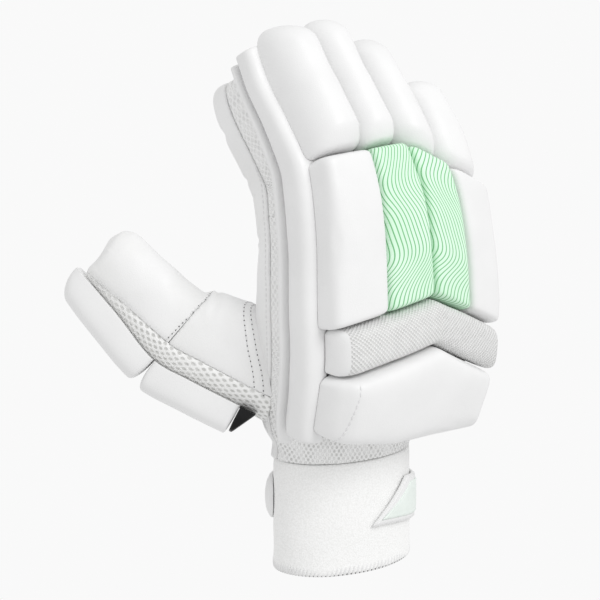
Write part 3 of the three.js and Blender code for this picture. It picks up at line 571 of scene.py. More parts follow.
def make_pad(name, place, size, height, material, node, start=(3.0, 2.4), end=(3.0, 2.4),
             power=5.0, along_height=((0, 1), (1, 1)), narrow=((0, 0), (1, 0)), corner=3.0, start_corner=3.0,
             columns=34, pitch=1.7, cap=0.9, puff=0.0):
    """Start and end say how far the rounding reaches and how square it is, power how square
    the section is, and the two tables how the height and the width change along the pad."""
    length, width = size
    start_run, start_rise = end_rows(*start)
    end_run, end_rise = end_rows(*end)
    middle = np.linspace(start[0], length - end[0], max(3, round((length - start[0] - end[0]) / pitch)))
    run = np.concatenate([start_run, middle, length - end_run[::-1]])
    rise = np.concatenate([start_rise, np.ones(len(middle)), end_rise[::-1]])
    at = run / length
    rise = rise * curve_through(*zip(*along_height))(at)
    inset = plan_corner(run, start_corner) + plan_corner(length - run, corner)
    slim = 1 - 2 * (inset / width + curve_through(*zip(*narrow))(at))
    turn = np.linspace(0, math.pi, columns)
    share = 0.5 - 0.5 * np.sign(np.cos(turn)) * np.abs(np.cos(turn)) ** (2 / power)
    section = np.sin(turn) ** (2 / power)
    section[[0, -1]] = 0
    shares = 0.5 + (share[None, :] - 0.5) * slim[:, None]
    belly = 1 + puff * (1 - (2 * share - 1) ** 2)[None, :] * np.sin(math.pi * at)[:, None]
    up = height * rise[:, None] * section[None, :] * belly
    grid_at = np.repeat(at[:, None], columns, 1)
    top = place(grid_at, shares, up)
    back = place(grid_at, shares, np.full_like(up, -PAD_BACK))
    rows = len(at)
    outward = unit(top - back)
    seed = len(PADS) + 1
    dents = uneven(top, *((depth, size, seed + shift) for depth, size, shift in DENTS))
    near_edge = np.exp(-up / PUCKER_REACH) * (up > 0.3)
    wave = 2 * math.pi * (run[:, None] + share[None, :] * width) / PUCKER_PITCH + seed
    pucker = PUCKER * near_edge * np.sin(wave)
    top = top + outward * ((dents * np.minimum(up / 4, 1) + pucker)[..., None])
    inner = np.zeros((rows, columns), bool)
    inner[1:-1, 1:-1] = True
    underside = rows * columns + np.arange(inner.sum())
    top_index, back_index = vertex_grid(rows, columns), vertex_grid(rows, columns)
    back_index[inner] = underside
    points = np.vstack([top.reshape(-1, 3), back[inner]])
    faces = facing_out(points, np.vstack([grid_faces(top_index), grid_faces(back_index)[:, ::-1]]))
    across_mm = running(np.hypot(np.diff(share) * width, np.diff(section) * height))
    along_mm = running(np.hypot(np.diff(run), np.diff(rise) * height))
    uv_top = np.stack(np.meshgrid(across_mm, along_mm), -1)
    uv = np.vstack([uv_top.reshape(-1, 2), uv_top[inner]])
    piece = new_piece(name, points, faces, material, (node,), uv)
    held = np.concatenate([np.flatnonzero((up < HELD_BELOW).ravel()), underside])
    PADS.append({"piece": piece, "held": held, "cap": cap})
    return piece


def on_back(across, along, rise):
    """Points over the back of the hand."""
    return HAND.place(across, SINK - crown_at(across, along) - rise, along)


def across_finger(number, along, share):
    return lerp(finger_line(number, along) + SEAM / 2, finger_line(number + 1, along) - SEAM / 2, share)


def finger_place(number, start_line, end_line):
    def place(at, share, rise):
        along = lerp(start_line(share), end_line(share), at)
        return on_back(across_finger(number, along, share), along, rise)

    return place


CHEVRON_GUESS, CHEVRON_PASSES = 0.3, 4


def chevron_at(number, share):
    along = np.full(np.shape(share), CHEVRON_GUESS)
    for _ in range(CHEVRON_PASSES):
        along = chevron_line(across_finger(number, along, share))
    return along


half_seam = SEAM / 2 / HAND.length

# Share along a tip roll with its height, and with what its end draws in on each side
ROLL_CREST = ((0, 0.60), (0.09, 0.93), (0.12, 0.985), (0.25, 1.0), (0.48, 1.03), (0.66, 1.03), (0.82, 0.98),
              (0.91, 0.91), (1, 0.82))
ROLL_TIP = ((0, 0), (0.8, 0), (0.91, 0.02), (1, 0.05))

for number, (name, _, roll_end, seam_in, seam_out, rise) in enumerate(FINGERS):
    def seam_line(share, low=seam_in, high=seam_out):
        return lerp(low, high, share)

    bar_place = finger_place(
        number,
        lambda share, n=number: chevron_at(n, share) + half_seam,
        lambda share, line=seam_line: line(share) - half_seam,
    )
    roll_place = finger_place(
        number,
        lambda share, line=seam_line: line(share) + half_seam,
        lambda share, stop=roll_end: np.full(np.shape(share), stop),
    )
    middle = float(seam_line(0.5))
    width = float(finger_line(number + 1, middle) - finger_line(number, middle)) - SEAM
    bar_length = (middle - float(chevron_at(number, np.array(0.5)))) * HAND.length
    printed = name in ("middle", "ring")
    make_pad(f"{name}_bar_pad", bar_place, (bar_length, width), BAR_HEIGHT,
             PRINT if printed else LEATHER, f"{name}_bar",
             start=(4.2, 2.5), end=(3.2, 2.5), power=6.4, puff=0.03, corner=4.2)
    make_pad(f"{name}_roll_pad", roll_place, ((roll_end - middle) * HAND.length, width),
             rise * TIP_ROLL_HEIGHT, LEATHER, f"{name}_tip_roll", start=(2.0, 2.6),
             end=(12.0, 2.0), power=2.25, along_height=ROLL_CREST, narrow=ROLL_TIP, corner=10.0,
             start_corner=4.2, columns=40, puff=0.02)


def cross_place(left, right, low, high, lean):
    """Places of a pad that lies across the hand and is bent at the chevron's peak."""
    peak = lerp(-INDEX_SIDE, LITTLE_SIDE, CHEVRON[1, 0])

    def place(at, share, rise):
        right_of_peak = lerp(peak, right - lean * (1 - share), 2 * at - 1)
        across = np.where(at < 0.5, lerp(left, peak, 2 * at), right_of_peak)
        return on_back(across, lerp(low(across), high(across), share), rise)

    return place


def band_low(across):
    return chevron_line(across) - BAND_LENGTH / HAND.length


band_place = cross_place(-INDEX_SIDE + BAND_INSET, LITTLE_SIDE + BAND_OVERHANG,
                         lambda x: band_low(x) + half_seam, lambda x: chevron_line(x) - half_seam, 0)
band_width = INDEX_SIDE + LITTLE_SIDE - BAND_INSET + BAND_OVERHANG
band = make_pad("knuckle_band_pad", band_place, (band_width, BAND_LENGTH), BAND_HEIGHT, NET,
                "knuckle_band", start=(3.4, 2.6), end=(6.0, 2.2), power=3.8, corner=6.0,
                along_height=((0, 0.60), (0.055, 0.96), (0.09, 1.0), (1, 1)))
wrist_place = cross_place(-INDEX_SIDE + WRIST_PAD_INSET, LITTLE_SIDE - WRIST_PAD_STOP,
                          pad_bottom, lambda x: band_low(x) - half_seam, WRIST_PAD_LEAN)
wrist_pad_width = INDEX_SIDE + LITTLE_SIDE - WRIST_PAD_INSET - WRIST_PAD_STOP
wrist_pad = make_pad("wrist_pad_cover", wrist_place, (wrist_pad_width, WRIST_PAD_LENGTH), WRIST_PAD_HEIGHT,
                     LEATHER, "wrist_pad", start=(2.4, 2.6), end=(4.0, 2.4), power=6.0, corner=5.0,
                     start_corner=5.0, columns=44,
                     along_height=((0, 0.52), (0.066, 0.975), (0.10, 1.0), (1, 1)))


# Strips: how much narrower they get towards the fingertips, and how much of their height shows
STRIP_SLIM, STRIP_SHOWS = 0.76, 0.96


def strip_place(side, start, end, near, width, height):
    def place(at, share, rise):
        along = lerp(start, end, at)
        left, right, _, _ = hand_box(along)
        skin = -left if side < 0 else right
        slim = lerp(1, STRIP_SLIM, smoothstep(along, 0.6, 0.85))
        return HAND.place(side * (skin - height + rise), lerp(near, near + width, share) * slim, along)

    return place


# Name, side, from, to, near edge, width, height, squareness
STRIPS = [
    ("index_side_roll", -1, 0.06, 0.945, SEAM, SIDE_ROLL_WIDTH, SIDE_ROLL_HEIGHT, 3.4),
    ("index_side_welt", -1, 0.03, 0.93, 2 * SEAM + SIDE_ROLL_WIDTH, WELT_WIDTH, WELT_HEIGHT, 2.4),
    ("little_side_roll", 1, 0.10, 0.75, SEAM, SIDE_ROLL_WIDTH, SIDE_ROLL_HEIGHT, 3.4),
]
for name, side, start, end, near, width, height, power in STRIPS:
    make_pad(f"{name}_pad", strip_place(side, start, end, near, width, height),
             ((end - start) * HAND.length, width), 2 * height * STRIP_SHOWS, LEATHER, name,
             start=(2.4, 2.2), end=(2.4, 2.2), power=power, columns=26, cap=0.5, corner=2.0)


def thumb_place(start, end):
    def place(at, share, rise):
        along = lerp(start, end, at)
        across = lerp(-THUMB_ROLL_WIDTH / 2, THUMB_ROLL_WIDTH / 2, share)
        return THUMB.place(across, THUMB_SINK - rise, along)

    return place


THUMB_SINK, THUMB_ROLL_TO = 1.2, 1.03
END_CUT, END_TAPER, END_HEIGHT = 0.12, 0.60, 0.93
thumb_seam = SEAM / 2 / THUMB.length
thumb_roll_rise = THUMB_ROLL_HEIGHT + THUMB_SINK
make_pad("thumb_tip_roll_pad", thumb_place(THUMB_JOINT + thumb_seam, THUMB_ROLL_TO),
         ((THUMB_ROLL_TO - THUMB_JOINT) * THUMB.length, THUMB_ROLL_WIDTH), thumb_roll_rise, LEATHER,
         "thumb_tip_roll", start=(3.2, 2.4), end=(9.0, 2.0), power=4.2, corner=8.0,
         along_height=((0, 0.95), (0.2, 1), (0.6, 1.02), (0.82, 0.97), (1, 0.80)))
make_pad("thumb_base_roll_pad", thumb_place(THUMB_ROLL_FROM, THUMB_JOINT - thumb_seam),
         ((THUMB_JOINT - THUMB_ROLL_FROM) * THUMB.length, THUMB_ROLL_WIDTH), thumb_roll_rise, LEATHER,
         "thumb_base_roll", start=(1.6, 2.6), end=(3.2, 2.4), power=4.6)


def thumb_end_place(at, share, rise):
    """The dark end is a wedge, longest next to the thumb."""
    stop = THUMB_ROLL_FROM - thumb_seam
    slant = END_CUT + END_TAPER * np.clip(rise / THUMB_ROLL_HEIGHT, 0, 1)
    return thumb_place(lerp(THUMB_END_FROM, stop, slant), stop)(at, share, rise)


make_pad("thumb_roll_end_cap", thumb_end_place,
         ((THUMB_ROLL_FROM - THUMB_END_FROM) * THUMB.length, THUMB_ROLL_WIDTH - 1),
         THUMB_ROLL_HEIGHT * END_HEIGHT, DARK, "thumb_roll_end", start=(4.5, 1.8),
         end=(1.2, 2.6), power=4.6, pitch=1.2)


def inflate(pads, pressure=4.0, frames=16):
    """Lets each pad's cover swell under pressure as cloth, held along its sewn edge."""
    scene = bpy.context.scene
    for pad in pads:
        piece = pad["piece"]
        group = piece.vertex_groups.new(name="held")
        group.add(pad["held"].tolist(), 1.0, "REPLACE")
        cloth = piece.modifiers.new("Cloth", "CLOTH")
        cloth.settings.quality = 4
        cloth.settings.mass = 0.08
        cloth.settings.use_pressure = True
        cloth.settings.uniform_pressure_force = pressure
        cloth.settings.vertex_group_mass = "held"
        cloth.settings.effector_weights.gravity = 0
        cloth.settings.bending_stiffness = 2.0
        cloth.collision_settings.use_collision = False
        cloth.point_cache.frame_start, cloth.point_cache.frame_end = 1, frames
    for step in range(1, frames + 1):
        scene.frame_set(step)
    graph = bpy.context.evaluated_depsgraph_get()
    moved = [mesh_points(pad["piece"].evaluated_get(graph).data) for pad in pads]
    for pad, swollen in zip(pads, moved):
        piece = pad["piece"]
        piece.modifiers.clear()
        piece.vertex_groups.clear()
        rest = mesh_points(piece.data)
        step = swollen - rest
        far = np.linalg.norm(step, axis=1, keepdims=True)
        cap = pad["cap"] * MM
        points = rest + step * (cap * np.tanh(far / cap) / np.maximum(far, 1e-9))
        piece.data.vertices.foreach_set("co", points.astype(np.float32).ravel())
        piece.data.update()
    scene.frame_set(1)


inflate(PADS)


# Skin. Forms are lofted from the sections, joined and remeshed evenly, and the skin is then
# cut along lines of across, deep and along. A row of skin data holds a point, its normal,
# its across, deep and along in the hand or thumb, and how far it is inside the other form.
POINT, NORMAL = slice(0, 3), slice(3, 6)
ACROSS, DEEP, ALONG, OTHER = 6, 7, 8, 9


def loft(bend, along, left, right, near, far, square, count=96):
    """Closed skin through ovals that fill the boxes at the places along the line."""
    turn = np.linspace(0, 2 * math.pi, count, endpoint=False)
    across, deep = (
        ((high - low) / 2)[:, None] * np.sign(wave) * np.abs(wave) ** (2 / square[:, None])
        + ((low + high) / 2)[:, None]
        for low, high, wave in ((left, right, np.cos(turn)), (near, far, np.sin(turn))))
    rings = bend.place(across, deep, along[:, None])
    points = np.vstack([rings.reshape(-1, 3), rings[0].mean(0), rings[-1].mean(0)])
    return points, facing_out(points, tube_faces(len(along), count))


def remeshed(forms, voxel, rounds):
    """One even skin round all the forms, as points and triangles in millimetres."""
    bases = running([len(points) for points, _ in forms])
    triangles = np.vstack([part + base for (_, part), base in zip(forms, bases)])
    mesh = bpy.data.meshes.new("raw_form")
    mesh.from_pydata((np.vstack([points for points, _ in forms]) * MM).tolist(), [], triangles.tolist())
    raw = add_object("raw_form", mesh)
    remesh = raw.modifiers.new("Remesh", "REMESH")
    remesh.mode, remesh.voxel_size = "VOXEL", voxel * MM
    smooth = raw.modifiers.new("Smooth", "SMOOTH")
    smooth.factor, smooth.iterations = 0.5, rounds
    shape = raw.evaluated_get(bpy.context.evaluated_depsgraph_get()).to_mesh()
    shape.calc_loop_triangles()
    even = mesh_points(shape) / MM
    corners = np.empty(len(shape.loop_triangles) * 3, np.int32)
    shape.loop_triangles.foreach_get("vertices", corners)
    bpy.data.objects.remove(raw)
    bpy.data.meshes.remove(mesh)
    return even, corners.reshape(-1, 3).astype(int)


def vertex_normals(points, triangles):
    a, b, c = (points[triangles[:, k]] for k in range(3))
    face = np.cross(b - a, c - a)
    normals = np.zeros_like(points)
    for k in range(3):
        np.add.at(normals, triangles[:, k], face)
    return unit(normals)


def split(data, triangles, value):
    """Cuts the triangles where the value is zero, and keeps the side above zero."""
    above = value > 0
    count = above[triangles].sum(1)
    kept = triangles[count == 3]
    crossing = triangles[(count == 1) | (count == 2)]
    flags = above[crossing]
    lone_above = flags.sum(1) == 1
    lone = np.where(lone_above[:, None], flags, ~flags).argmax(1)
    a, b, c = np.take_along_axis(crossing, (lone[:, None] + np.arange(3)) % 3, 1).T
    edges = np.sort(np.vstack([np.stack([a, b], 1), np.stack([a, c], 1)]), 1)
    single, inverse = np.unique(edges, axis=0, return_inverse=True)
    inverse = inverse.ravel() + len(data)
    first, last = value[single[:, 0]], value[single[:, 1]]
    t = (first / (first - last))[:, None]
    data = np.vstack([data, data[single[:, 0]] * (1 - t) + data[single[:, 1]] * t])
    ab, ac = inverse[:len(a)], inverse[len(a):]
    low = ~lone_above
    triangles = np.vstack([
        kept,
        np.stack([a, ab, ac], 1)[lone_above],
        np.stack([ab, b, c], 1)[low],
        np.stack([ab, c, ac], 1)[low],
    ])
    used, renumbered = np.unique(triangles, return_inverse=True)
    return data[used], renumbered.reshape(-1, 3)


def shell_piece(name, data, triangles, shift, bend, box, material, node):
    """A sheet of the skin with an outer face shifted along its normals, an inner face and rims.
    Its UV map runs round the section and along the bend, in millimetres."""
    left, right, near, _ = box(data[:, ALONG])
    across = data[:, ACROSS] - (left + right) / 2
    uv = np.stack([across + np.sign(across) * (data[:, DEEP] - near), data[:, ALONG] * bend.length], 1)
    normals = unit(data[:, NORMAL])
    outer = data[:, POINT] + normals * shift[:, None]
    inner = data[:, POINT] - normals * SKIN
    count = len(data)
    directed = np.vstack([triangles[:, [0, 1]], triangles[:, [1, 2]], triangles[:, [2, 0]]])
    key = directed[:, 0] * count + directed[:, 1]
    back = directed[:, 1] * count + directed[:, 0]
    rim = directed[~np.isin(key, back)]
    rims = np.stack([rim[:, 1], rim[:, 0], rim[:, 0] + count, rim[:, 1] + count], 1)
    faces = triangles.tolist() + (triangles[:, ::-1] + count).tolist() + rims.tolist()
    new_piece(name, np.vstack([outer, inner]), faces, material, (node,), np.vstack([uv, uv]))


def squareness(across, deep, left, right, near, far, square):
    """Below zero inside the oval that fills the box, in millimetres near its edge."""
    x = np.abs(2 * across - left - right) / (right - left)
    y = np.abs(2 * deep - near - far) / (far - near)
    reach = (x**square + y**square) ** (1 / square)
    return (reach - 1) * np.minimum(right - left, far - near) / 2


BODY_FROM, BODY_TO = -0.10, 0.57
SLEEVE_FROM, SLEEVE_SQUARE, SLEEVE_INSET = 0.49, 3.8, 0.5
THUMB_FROM, THUMB_INTO, THUMB_SQUARE = -0.10, 0.9, 2.4
TIP_FROM, TIP_TO, TIP_INSET = 0.94, 0.985, 4.5
FAR_OUT = 20.0
SLEEVE_SHAPE = curve_through((0, 0.77, 0.88, 0.94, 0.975, 1.0), (1, 1, 0.975, 0.92, 0.83, 0.66))


def hand_forms():
    along = np.linspace(BODY_FROM, BODY_TO, 90)
    left, right, near, far = hand_box(along)
    forms = [loft(HAND, along, left, right, near, far, hand_square(along), 160)]
    for number, (_, end, *_rest) in enumerate(FINGERS):
        at = np.concatenate([np.linspace(0, 0.85, 36), np.linspace(0.87, 1, 14)])
        along = lerp(SLEEVE_FROM, end, at)
        parted = SLEEVE_INSET * smoothstep(along, 0.55, 0.62)
        left = finger_line(number, along) + SEAM / 2 + parted
        right = np.minimum(finger_line(number + 1, along), hand_box(along)[1]) - SEAM / 2 - parted
        near = -crown_at((left + right) / 2, along)
        inset = (1 - SLEEVE_SHAPE(at)) * (right - left) / 2
        square = np.full(len(along), SLEEVE_SQUARE)
        forms.append(loft(HAND, along, left + inset, right - inset, near + inset,
                          near + FINGER_DEPTH + FINGER_FILL - inset, square))
    return forms


def thumb_box(along):
    half = thumb_width(along) * THUMB_WIDTH / 2
    return -half, half, np.zeros_like(half), thumb_depth(along) * THUMB_DEPTH


def thumb_forms():
    along = np.linspace(THUMB_FROM, TIP_TO, 70)
    left, right, near, far = thumb_box(along)
    forms = [loft(THUMB, along, left, right, near, far, np.full(len(along), THUMB_SQUARE))]
    share = np.linspace(0, 1.0, 12)
    tip = lerp(TIP_FROM, 1.0, share)
    left, right, near, far = thumb_box(tip)
    inset = TIP_INSET * (1 - np.sqrt(1 - share**2))
    forms.append(loft(THUMB, tip, left + inset, right - inset, near + inset * 0.6, far - inset * 1.5,
                      np.full(len(tip), THUMB_SQUARE)))
    return forms


VOXEL = 1.3


def skin_data(forms, bend, other, lean=None):
    points, triangles = remeshed(forms, VOXEL, 6)
    if lean:
        points = lean(points)
    normals = vertex_normals(points, triangles)
    across, deep, along = bend.locate(points)
    fields = np.stack([across, deep, along, other(points)], 1)
    return np.hstack([points, normals, fields]), triangles


# The thumb's tip: how far it leans out, and by place along the thumb how much slimmer it is
TIP_LEAN = 4.5
SLIM_ALONG, SLIM_BY = (0.58, 0.68, 0.78, 0.88, 1.0), (0.0, 1.4, 3.4, 5.2, 5.2)


def lean_thumb(points):
    """The pulp side of the thumb's tip reaches further out and is slimmer than the plain form."""
    _, deep, along = THUMB.locate(points)
    share = smoothstep(deep / (thumb_depth(along) * THUMB_DEPTH), 0.25, 1.0)
    out = TIP_LEAN * smoothstep(along, 0.78, 1.0) * share
    slim = np.interp(along, SLIM_ALONG, SLIM_BY) * share
    nearest = np.clip((along * THUMB.COUNT).astype(int), 0, THUMB.COUNT)
    forward = THUMB.tangents[nearest]
    inward = np.cross(forward, THUMB.side)
    return points + forward * out[:, None] - inward * slim[:, None]


def inside_thumb(points):
    across, deep, along = THUMB.locate(points)
    value = squareness(across, deep, *thumb_box(along), THUMB_SQUARE)
    return np.where((along < THUMB_FROM) | (along > THUMB_INTO), FAR_OUT, value)


def inside_hand(points):
    across, deep, along = HAND.locate(points)
    value = squareness(across, deep, *hand_box(along), hand_square(along))
    return np.where(along > BODY_TO, FAR_OUT, value)


SPLIT_GAP, THUMB_GAP, CUFF_GAP, THUMB_OVERLAP = 0.15, 0.35, 0.1, 1.0
hand_skin, hand_triangles = skin_data(hand_forms(), HAND, inside_thumb)
thumb_skin, thumb_triangles = skin_data(thumb_forms(), THUMB, inside_hand, lean_thumb)
hand_skin, hand_triangles = split(hand_skin, hand_triangles, hand_skin[:, 2] - CUFF_HEIGHT - CUFF_GAP)
hand_skin, hand_triangles = split(hand_skin, hand_triangles, hand_skin[:, OTHER] + SKIN + THUMB_OVERLAP)
thumb_skin, thumb_triangles = split(thumb_skin, thumb_triangles, thumb_skin[:, OTHER] - THUMB_GAP)


def groove(distance, depth=0.5, reach=1.3):
    return -depth * np.exp(-(distance / reach) ** 2)


# Joints of the fingers by share along the hand, and the thumb's folds by place and depth
FINGER_JOINTS = (0.50, 0.63, 0.74, 0.85)
THUMB_FOLDS = ((-4.5, 1.3), (-8.5, 0.8), (-14.0, 0.7))
LEATHER_LIFT, THUMB_LIFT, FOLD_SLANT = 0.7, 0.3, 0.18


# Palm leather: lumps, creases at the finger joints and a turned edge along the mesh
data, triangles = split(hand_skin, hand_triangles, hand_skin[:, DEEP] - LEATHER_EDGE - SPLIT_GAP)
lying = data[:, ALONG] * HAND.length
palm_face = smoothstep(data[:, DEEP], 38, 44)
shift = uneven(data[:, POINT], (0.55, 24, 3), (0.22, 9, 4))
shift += groove(data[:, DEEP] - LEATHER_EDGE) + LEATHER_LIFT
wander = uneven(data[:, POINT], (3.0, 30, 8))
for joint in FINGER_JOINTS:
    shift += palm_face * groove(lying - joint * HAND.length + wander, 0.9, 1.8)
shell_piece("palm_leather_cover", data, triangles, shift, HAND, hand_box, PALM,
            "palm_leather")

# Mesh of the back of the hand and of the four fingers
mesh_data, mesh_triangles = split(hand_skin, hand_triangles, LEATHER_EDGE - SPLIT_GAP - hand_skin[:, DEEP])


def mesh_piece(name, data, triangles, node):
    shift = uneven(data[:, POINT], (0.25, 15, 6)) + groove(data[:, DEEP] - LEATHER_EDGE, 0.7)
    shift += groove(data[:, 2] - CUFF_HEIGHT, 0.3, 1.6)
    shell_piece(name, data, triangles, shift, HAND, hand_box, SPACER, node)


data, triangles = split(mesh_data, mesh_triangles, (KNUCKLE_CUT - mesh_data[:, ALONG]) * HAND.length)
mesh_piece("back_mesh_cloth", data, triangles, "back_mesh")
far_data, far_triangles = split(mesh_data, mesh_triangles, (mesh_data[:, ALONG] - KNUCKLE_CUT) * HAND.length)
for number, (name, *_rest) in enumerate(FINGERS):
    data, triangles = far_data, far_triangles
    if number > 0:
        value = data[:, ACROSS] - finger_line(number, data[:, ALONG]) - SPLIT_GAP
        data, triangles = split(data, triangles, value)
    if number < 3:
        value = finger_line(number + 1, data[:, ALONG]) - data[:, ACROSS] - SPLIT_GAP
        data, triangles = split(data, triangles, value)
    mesh_piece(f"{name}_mesh_cloth", data, triangles, f"{name}_mesh")

# Thumb: two leather panels with a cross seam, and the mesh between them and the rolls
mesh_edge = thumb_mesh(thumb_skin[:, ALONG]) * THUMB_MESH_WIDTH
leather_data, leather_triangles = split(
    thumb_skin, thumb_triangles, thumb_skin[:, DEEP] - mesh_edge - SPLIT_GAP)
for name, node, side in (("thumb_base_leather_cover", "thumb_base_leather", -1),
                         ("thumb_tip_leather_cover", "thumb_tip_leather", 1)):
    from_seam = (leather_data[:, ALONG] - THUMB_JOINT) * THUMB.length * side - 2 * SPLIT_GAP
    data, triangles = split(leather_data, leather_triangles, from_seam)
    edge = data[:, DEEP] - thumb_mesh(data[:, ALONG]) * THUMB_MESH_WIDTH
    seam_run = (data[:, ALONG] - THUMB_JOINT) * THUMB.length
    shift = uneven(data[:, POINT], (0.6, 20, 11), (0.22, 8, 12))
    shift += groove(edge) + groove(seam_run, 0.8, 1.1) + THUMB_LIFT
    shift += groove(data[:, OTHER], 0.9, 2.0)
    pulp = thumb_box(data[:, ALONG])[3]
    crown = smoothstep(data[:, DEEP] / pulp, 0.60, 0.92)
    bent = seam_run + FOLD_SLANT * (pulp - data[:, DEEP]) + uneven(data[:, POINT], (1.5, 12, 15))
    for fold, depth in THUMB_FOLDS:
        shift += crown * groove(bent - fold, depth)
    shell_piece(name, data, triangles, shift, THUMB, thumb_box, PALM, node)
data, triangles = split(thumb_skin, thumb_triangles, mesh_edge - SPLIT_GAP - thumb_skin[:, DEEP])
edge = data[:, DEEP] - thumb_mesh(data[:, ALONG]) * THUMB_MESH_WIDTH
shift = uneven(data[:, POINT], (0.25, 14, 14)) + groove(edge, 0.7)
shell_piece("thumb_mesh_cloth", data, triangles, shift, THUMB, thumb_box, THUMB_NET,
            "thumb_mesh")


# Cuff: a knitted towelling tube with an overlocked hem
def round_cuff(turns, out, height):
    """Points round the cuff at turns, so far out of its wall and so high."""
    x, y = (CUFF_WIDTH / 2 + out) * np.cos(turns), (CUFF_DEPTH / 2 + out) * np.sin(turns)
    return np.stack(np.broadcast_arrays(x, y, height), -1)


def out_of_cuff(turns):
    return unit(np.stack([np.cos(turns) * CUFF_DEPTH, np.sin(turns) * CUFF_WIDTH, turns * 0], -1))


def cuff_swell(up):
    return np.interp(up / CUFF_HEIGHT, (0, 0.05, 0.5, 0.92, 1), (-0.3, 0.3, 0, 0, -0.3))


CUFF_PITCH = 0.95
CUFF_RIM, CUFF_ROUND, PILE_SINK = 0.35, 1.3, 0.15
# The towelling's rows: the radius that turns angles into lengths, and where the inside starts
PILE_RADIUS, INSIDE_FROM = 33, 60
around = round(math.pi * (CUFF_WIDTH + CUFF_DEPTH) / 2 / CUFF_PITCH)
turn = np.linspace(0, 2 * math.pi, around, endpoint=False)
up = np.linspace(CUFF_RIM, CUFF_HEIGHT - CUFF_RIM, round(CUFF_HEIGHT / CUFF_PITCH))
round_in = plan_corner(np.minimum(up, CUFF_HEIGHT - up), CUFF_ROUND)
outer = round_cuff(turn, (cuff_swell(up) - round_in)[:, None], up[:, None])
inner = round_cuff(turn, (round_in - CUFF_WALL)[::-1, None], up[::-1, None])
pile = uneven(outer, (0.16, 1.9, 21), (0.5, 16, 22)) - PILE_SINK
points = np.concatenate([outer + out_of_cuff(turn) * pile[..., None], inner]).reshape(-1, 3)
index = vertex_grid(2 * len(up), around, True)
faces = grid_faces(np.vstack([index, index[:1]]))
both_ups = np.concatenate([up, up[::-1] + INSIDE_FROM])[:, None]
cuff_uv = np.stack(np.broadcast_arrays(turn[None, :] * PILE_RADIUS, both_ups), -1)
new_piece("towelling_cuff", points, facing_out(points, faces), TOWEL, ("wristband",),
          cuff_uv.reshape(-1, 2))


# Strap and patch: bands that lie round the cuff, with rounded edges
def strap_lift(turn):
    pull = smoothstep(-turn, math.radians(20), -STRAP_TURN_LOW)
    sewn = smoothstep(turn, math.radians(60), STRAP_TURN_END)
    return pull * STRAP_PULL_LIFT + sewn * STRAP_SEWN_LIFT


# Mean radius of the strap's course, which turns angles into lengths
COURSE = 38.0


def band_piece(name, low, high, start_low, start_high, end, out_at, thick_at, material, node, steps,
               end_round, dents):
    """A closed plate over turn and height, rounded along its edges and at its ends."""
    share = 0.5 - 0.5 * np.cos(np.linspace(0, math.pi, steps))
    share = 0.35 * share + 0.65 * np.linspace(0, 1, steps)
    rows = np.linspace(0, 1, 22)
    turns = lerp(start_low, start_high, rows)[None, :] * (1 - share)[:, None] + end * share[:, None]
    width = high - low
    run = (end - turns) * CUFF_WIDTH / 2
    from_end = np.minimum(run, width)
    corner = plan_corner(from_end, end_round)
    height = low + width / 2 + (rows - 0.5)[None, :] * (width - 2 * corner)
    from_start, from_tip = (part[:, None] * (end - start_low) * COURSE for part in (share, 1 - share))
    edge = np.minimum(np.minimum(rows, 1 - rows)[None, :] * width, np.minimum(from_start, from_tip))
    share_grid = np.repeat(share[:, None], len(rows), 1)
    flat = 0.35 + 0.65 * rounded(edge, 1.2)
    pillow = np.sqrt(1 - 0.93 * (2 * rows - 1) ** 2)[None, :] * (0.15 + 0.85 * rounded(from_tip, 7))
    thick = thick_at(share_grid) * lerp(flat, pillow, smoothstep(share_grid, 0.82, 0.94))
    base = out_at(share_grid)
    bumps = uneven(np.stack([turns * CUFF_WIDTH / 2, height, turns * 0], -1), (dents, 9, 31))
    raised = base + thick + bumps + groove(edge - 2.0, 0.22, 0.55)
    points = np.vstack([round_cuff(turns, out, height + strap_lift(turns)).reshape(-1, 3)
                        for out in (raised, base)])
    index, count = vertex_grid(*turns.shape), turns.size
    border = np.concatenate([index[0, :-1], index[:-1, -1], index[-1, :0:-1], index[:0:-1, 0]])
    after = np.roll(border, -1)
    faces = [grid_faces(index), grid_faces(index + count)[:, ::-1],
             np.stack([after, border, border + count, after + count], 1)]
    faces = facing_out(points, np.vstack(faces))
    uv = np.stack([turns * COURSE, height], -1).reshape(-1, 2)
    new_piece(name, points, faces, material, (node,), np.vstack([uv, uv]))


band_piece("wrist_strap_leather", STRAP_LOW, STRAP_LOW + STRAP_WIDTH, STRAP_TURN_LOW, STRAP_TURN_HIGH,
           STRAP_TURN_END, lambda s: lerp(STRAP_GAP, STRAP_SEWN_GAP, smoothstep(s, 0.55, 0.75)),
           lambda s: lerp(STRAP_THICKNESS, STRAP_END_THICKNESS, smoothstep(s, 0.75, 0.95)), LEATHER,
           "wrist_strap", 220, 9.0, 0.15)
band_piece("strap_patch_cloth", STRAP_LOW + PATCH_BORDER, STRAP_LOW + STRAP_WIDTH - PATCH_BORDER,
           STRAP_TURN_LOW + PATCH_BORDER / STRAP_WIDTH, STRAP_TURN_HIGH + PATCH_BORDER / STRAP_WIDTH / 2,
           PATCH_TURN_END, lambda _: STRAP_THICKNESS + PATCH_GAP, lambda _: PATCH_THICKNESS, PATCH,
           "strap_patch", 90, 2.0, 0.05)


# Stitches: short threads laid on a piece's surface, with dark dots of painted shade at the needle holes
# between them
BALL_ROUND, BALL_RINGS = 8, 5


def ball():
    polar = np.linspace(0, math.pi, BALL_RINGS + 2)[1:-1]
    turns = np.linspace(0, 2 * math.pi, BALL_ROUND, endpoint=False)
    slim = np.sin(polar)[:, None]
    rings = np.stack(np.broadcast_arrays(
        np.cos(polar)[:, None], slim * np.cos(turns), slim * np.sin(turns)), -1)
    points = np.vstack([rings.reshape(-1, 3), [[1, 0, 0], [-1, 0, 0]]])
    return points, facing_out(points, tube_faces(BALL_RINGS, BALL_ROUND))


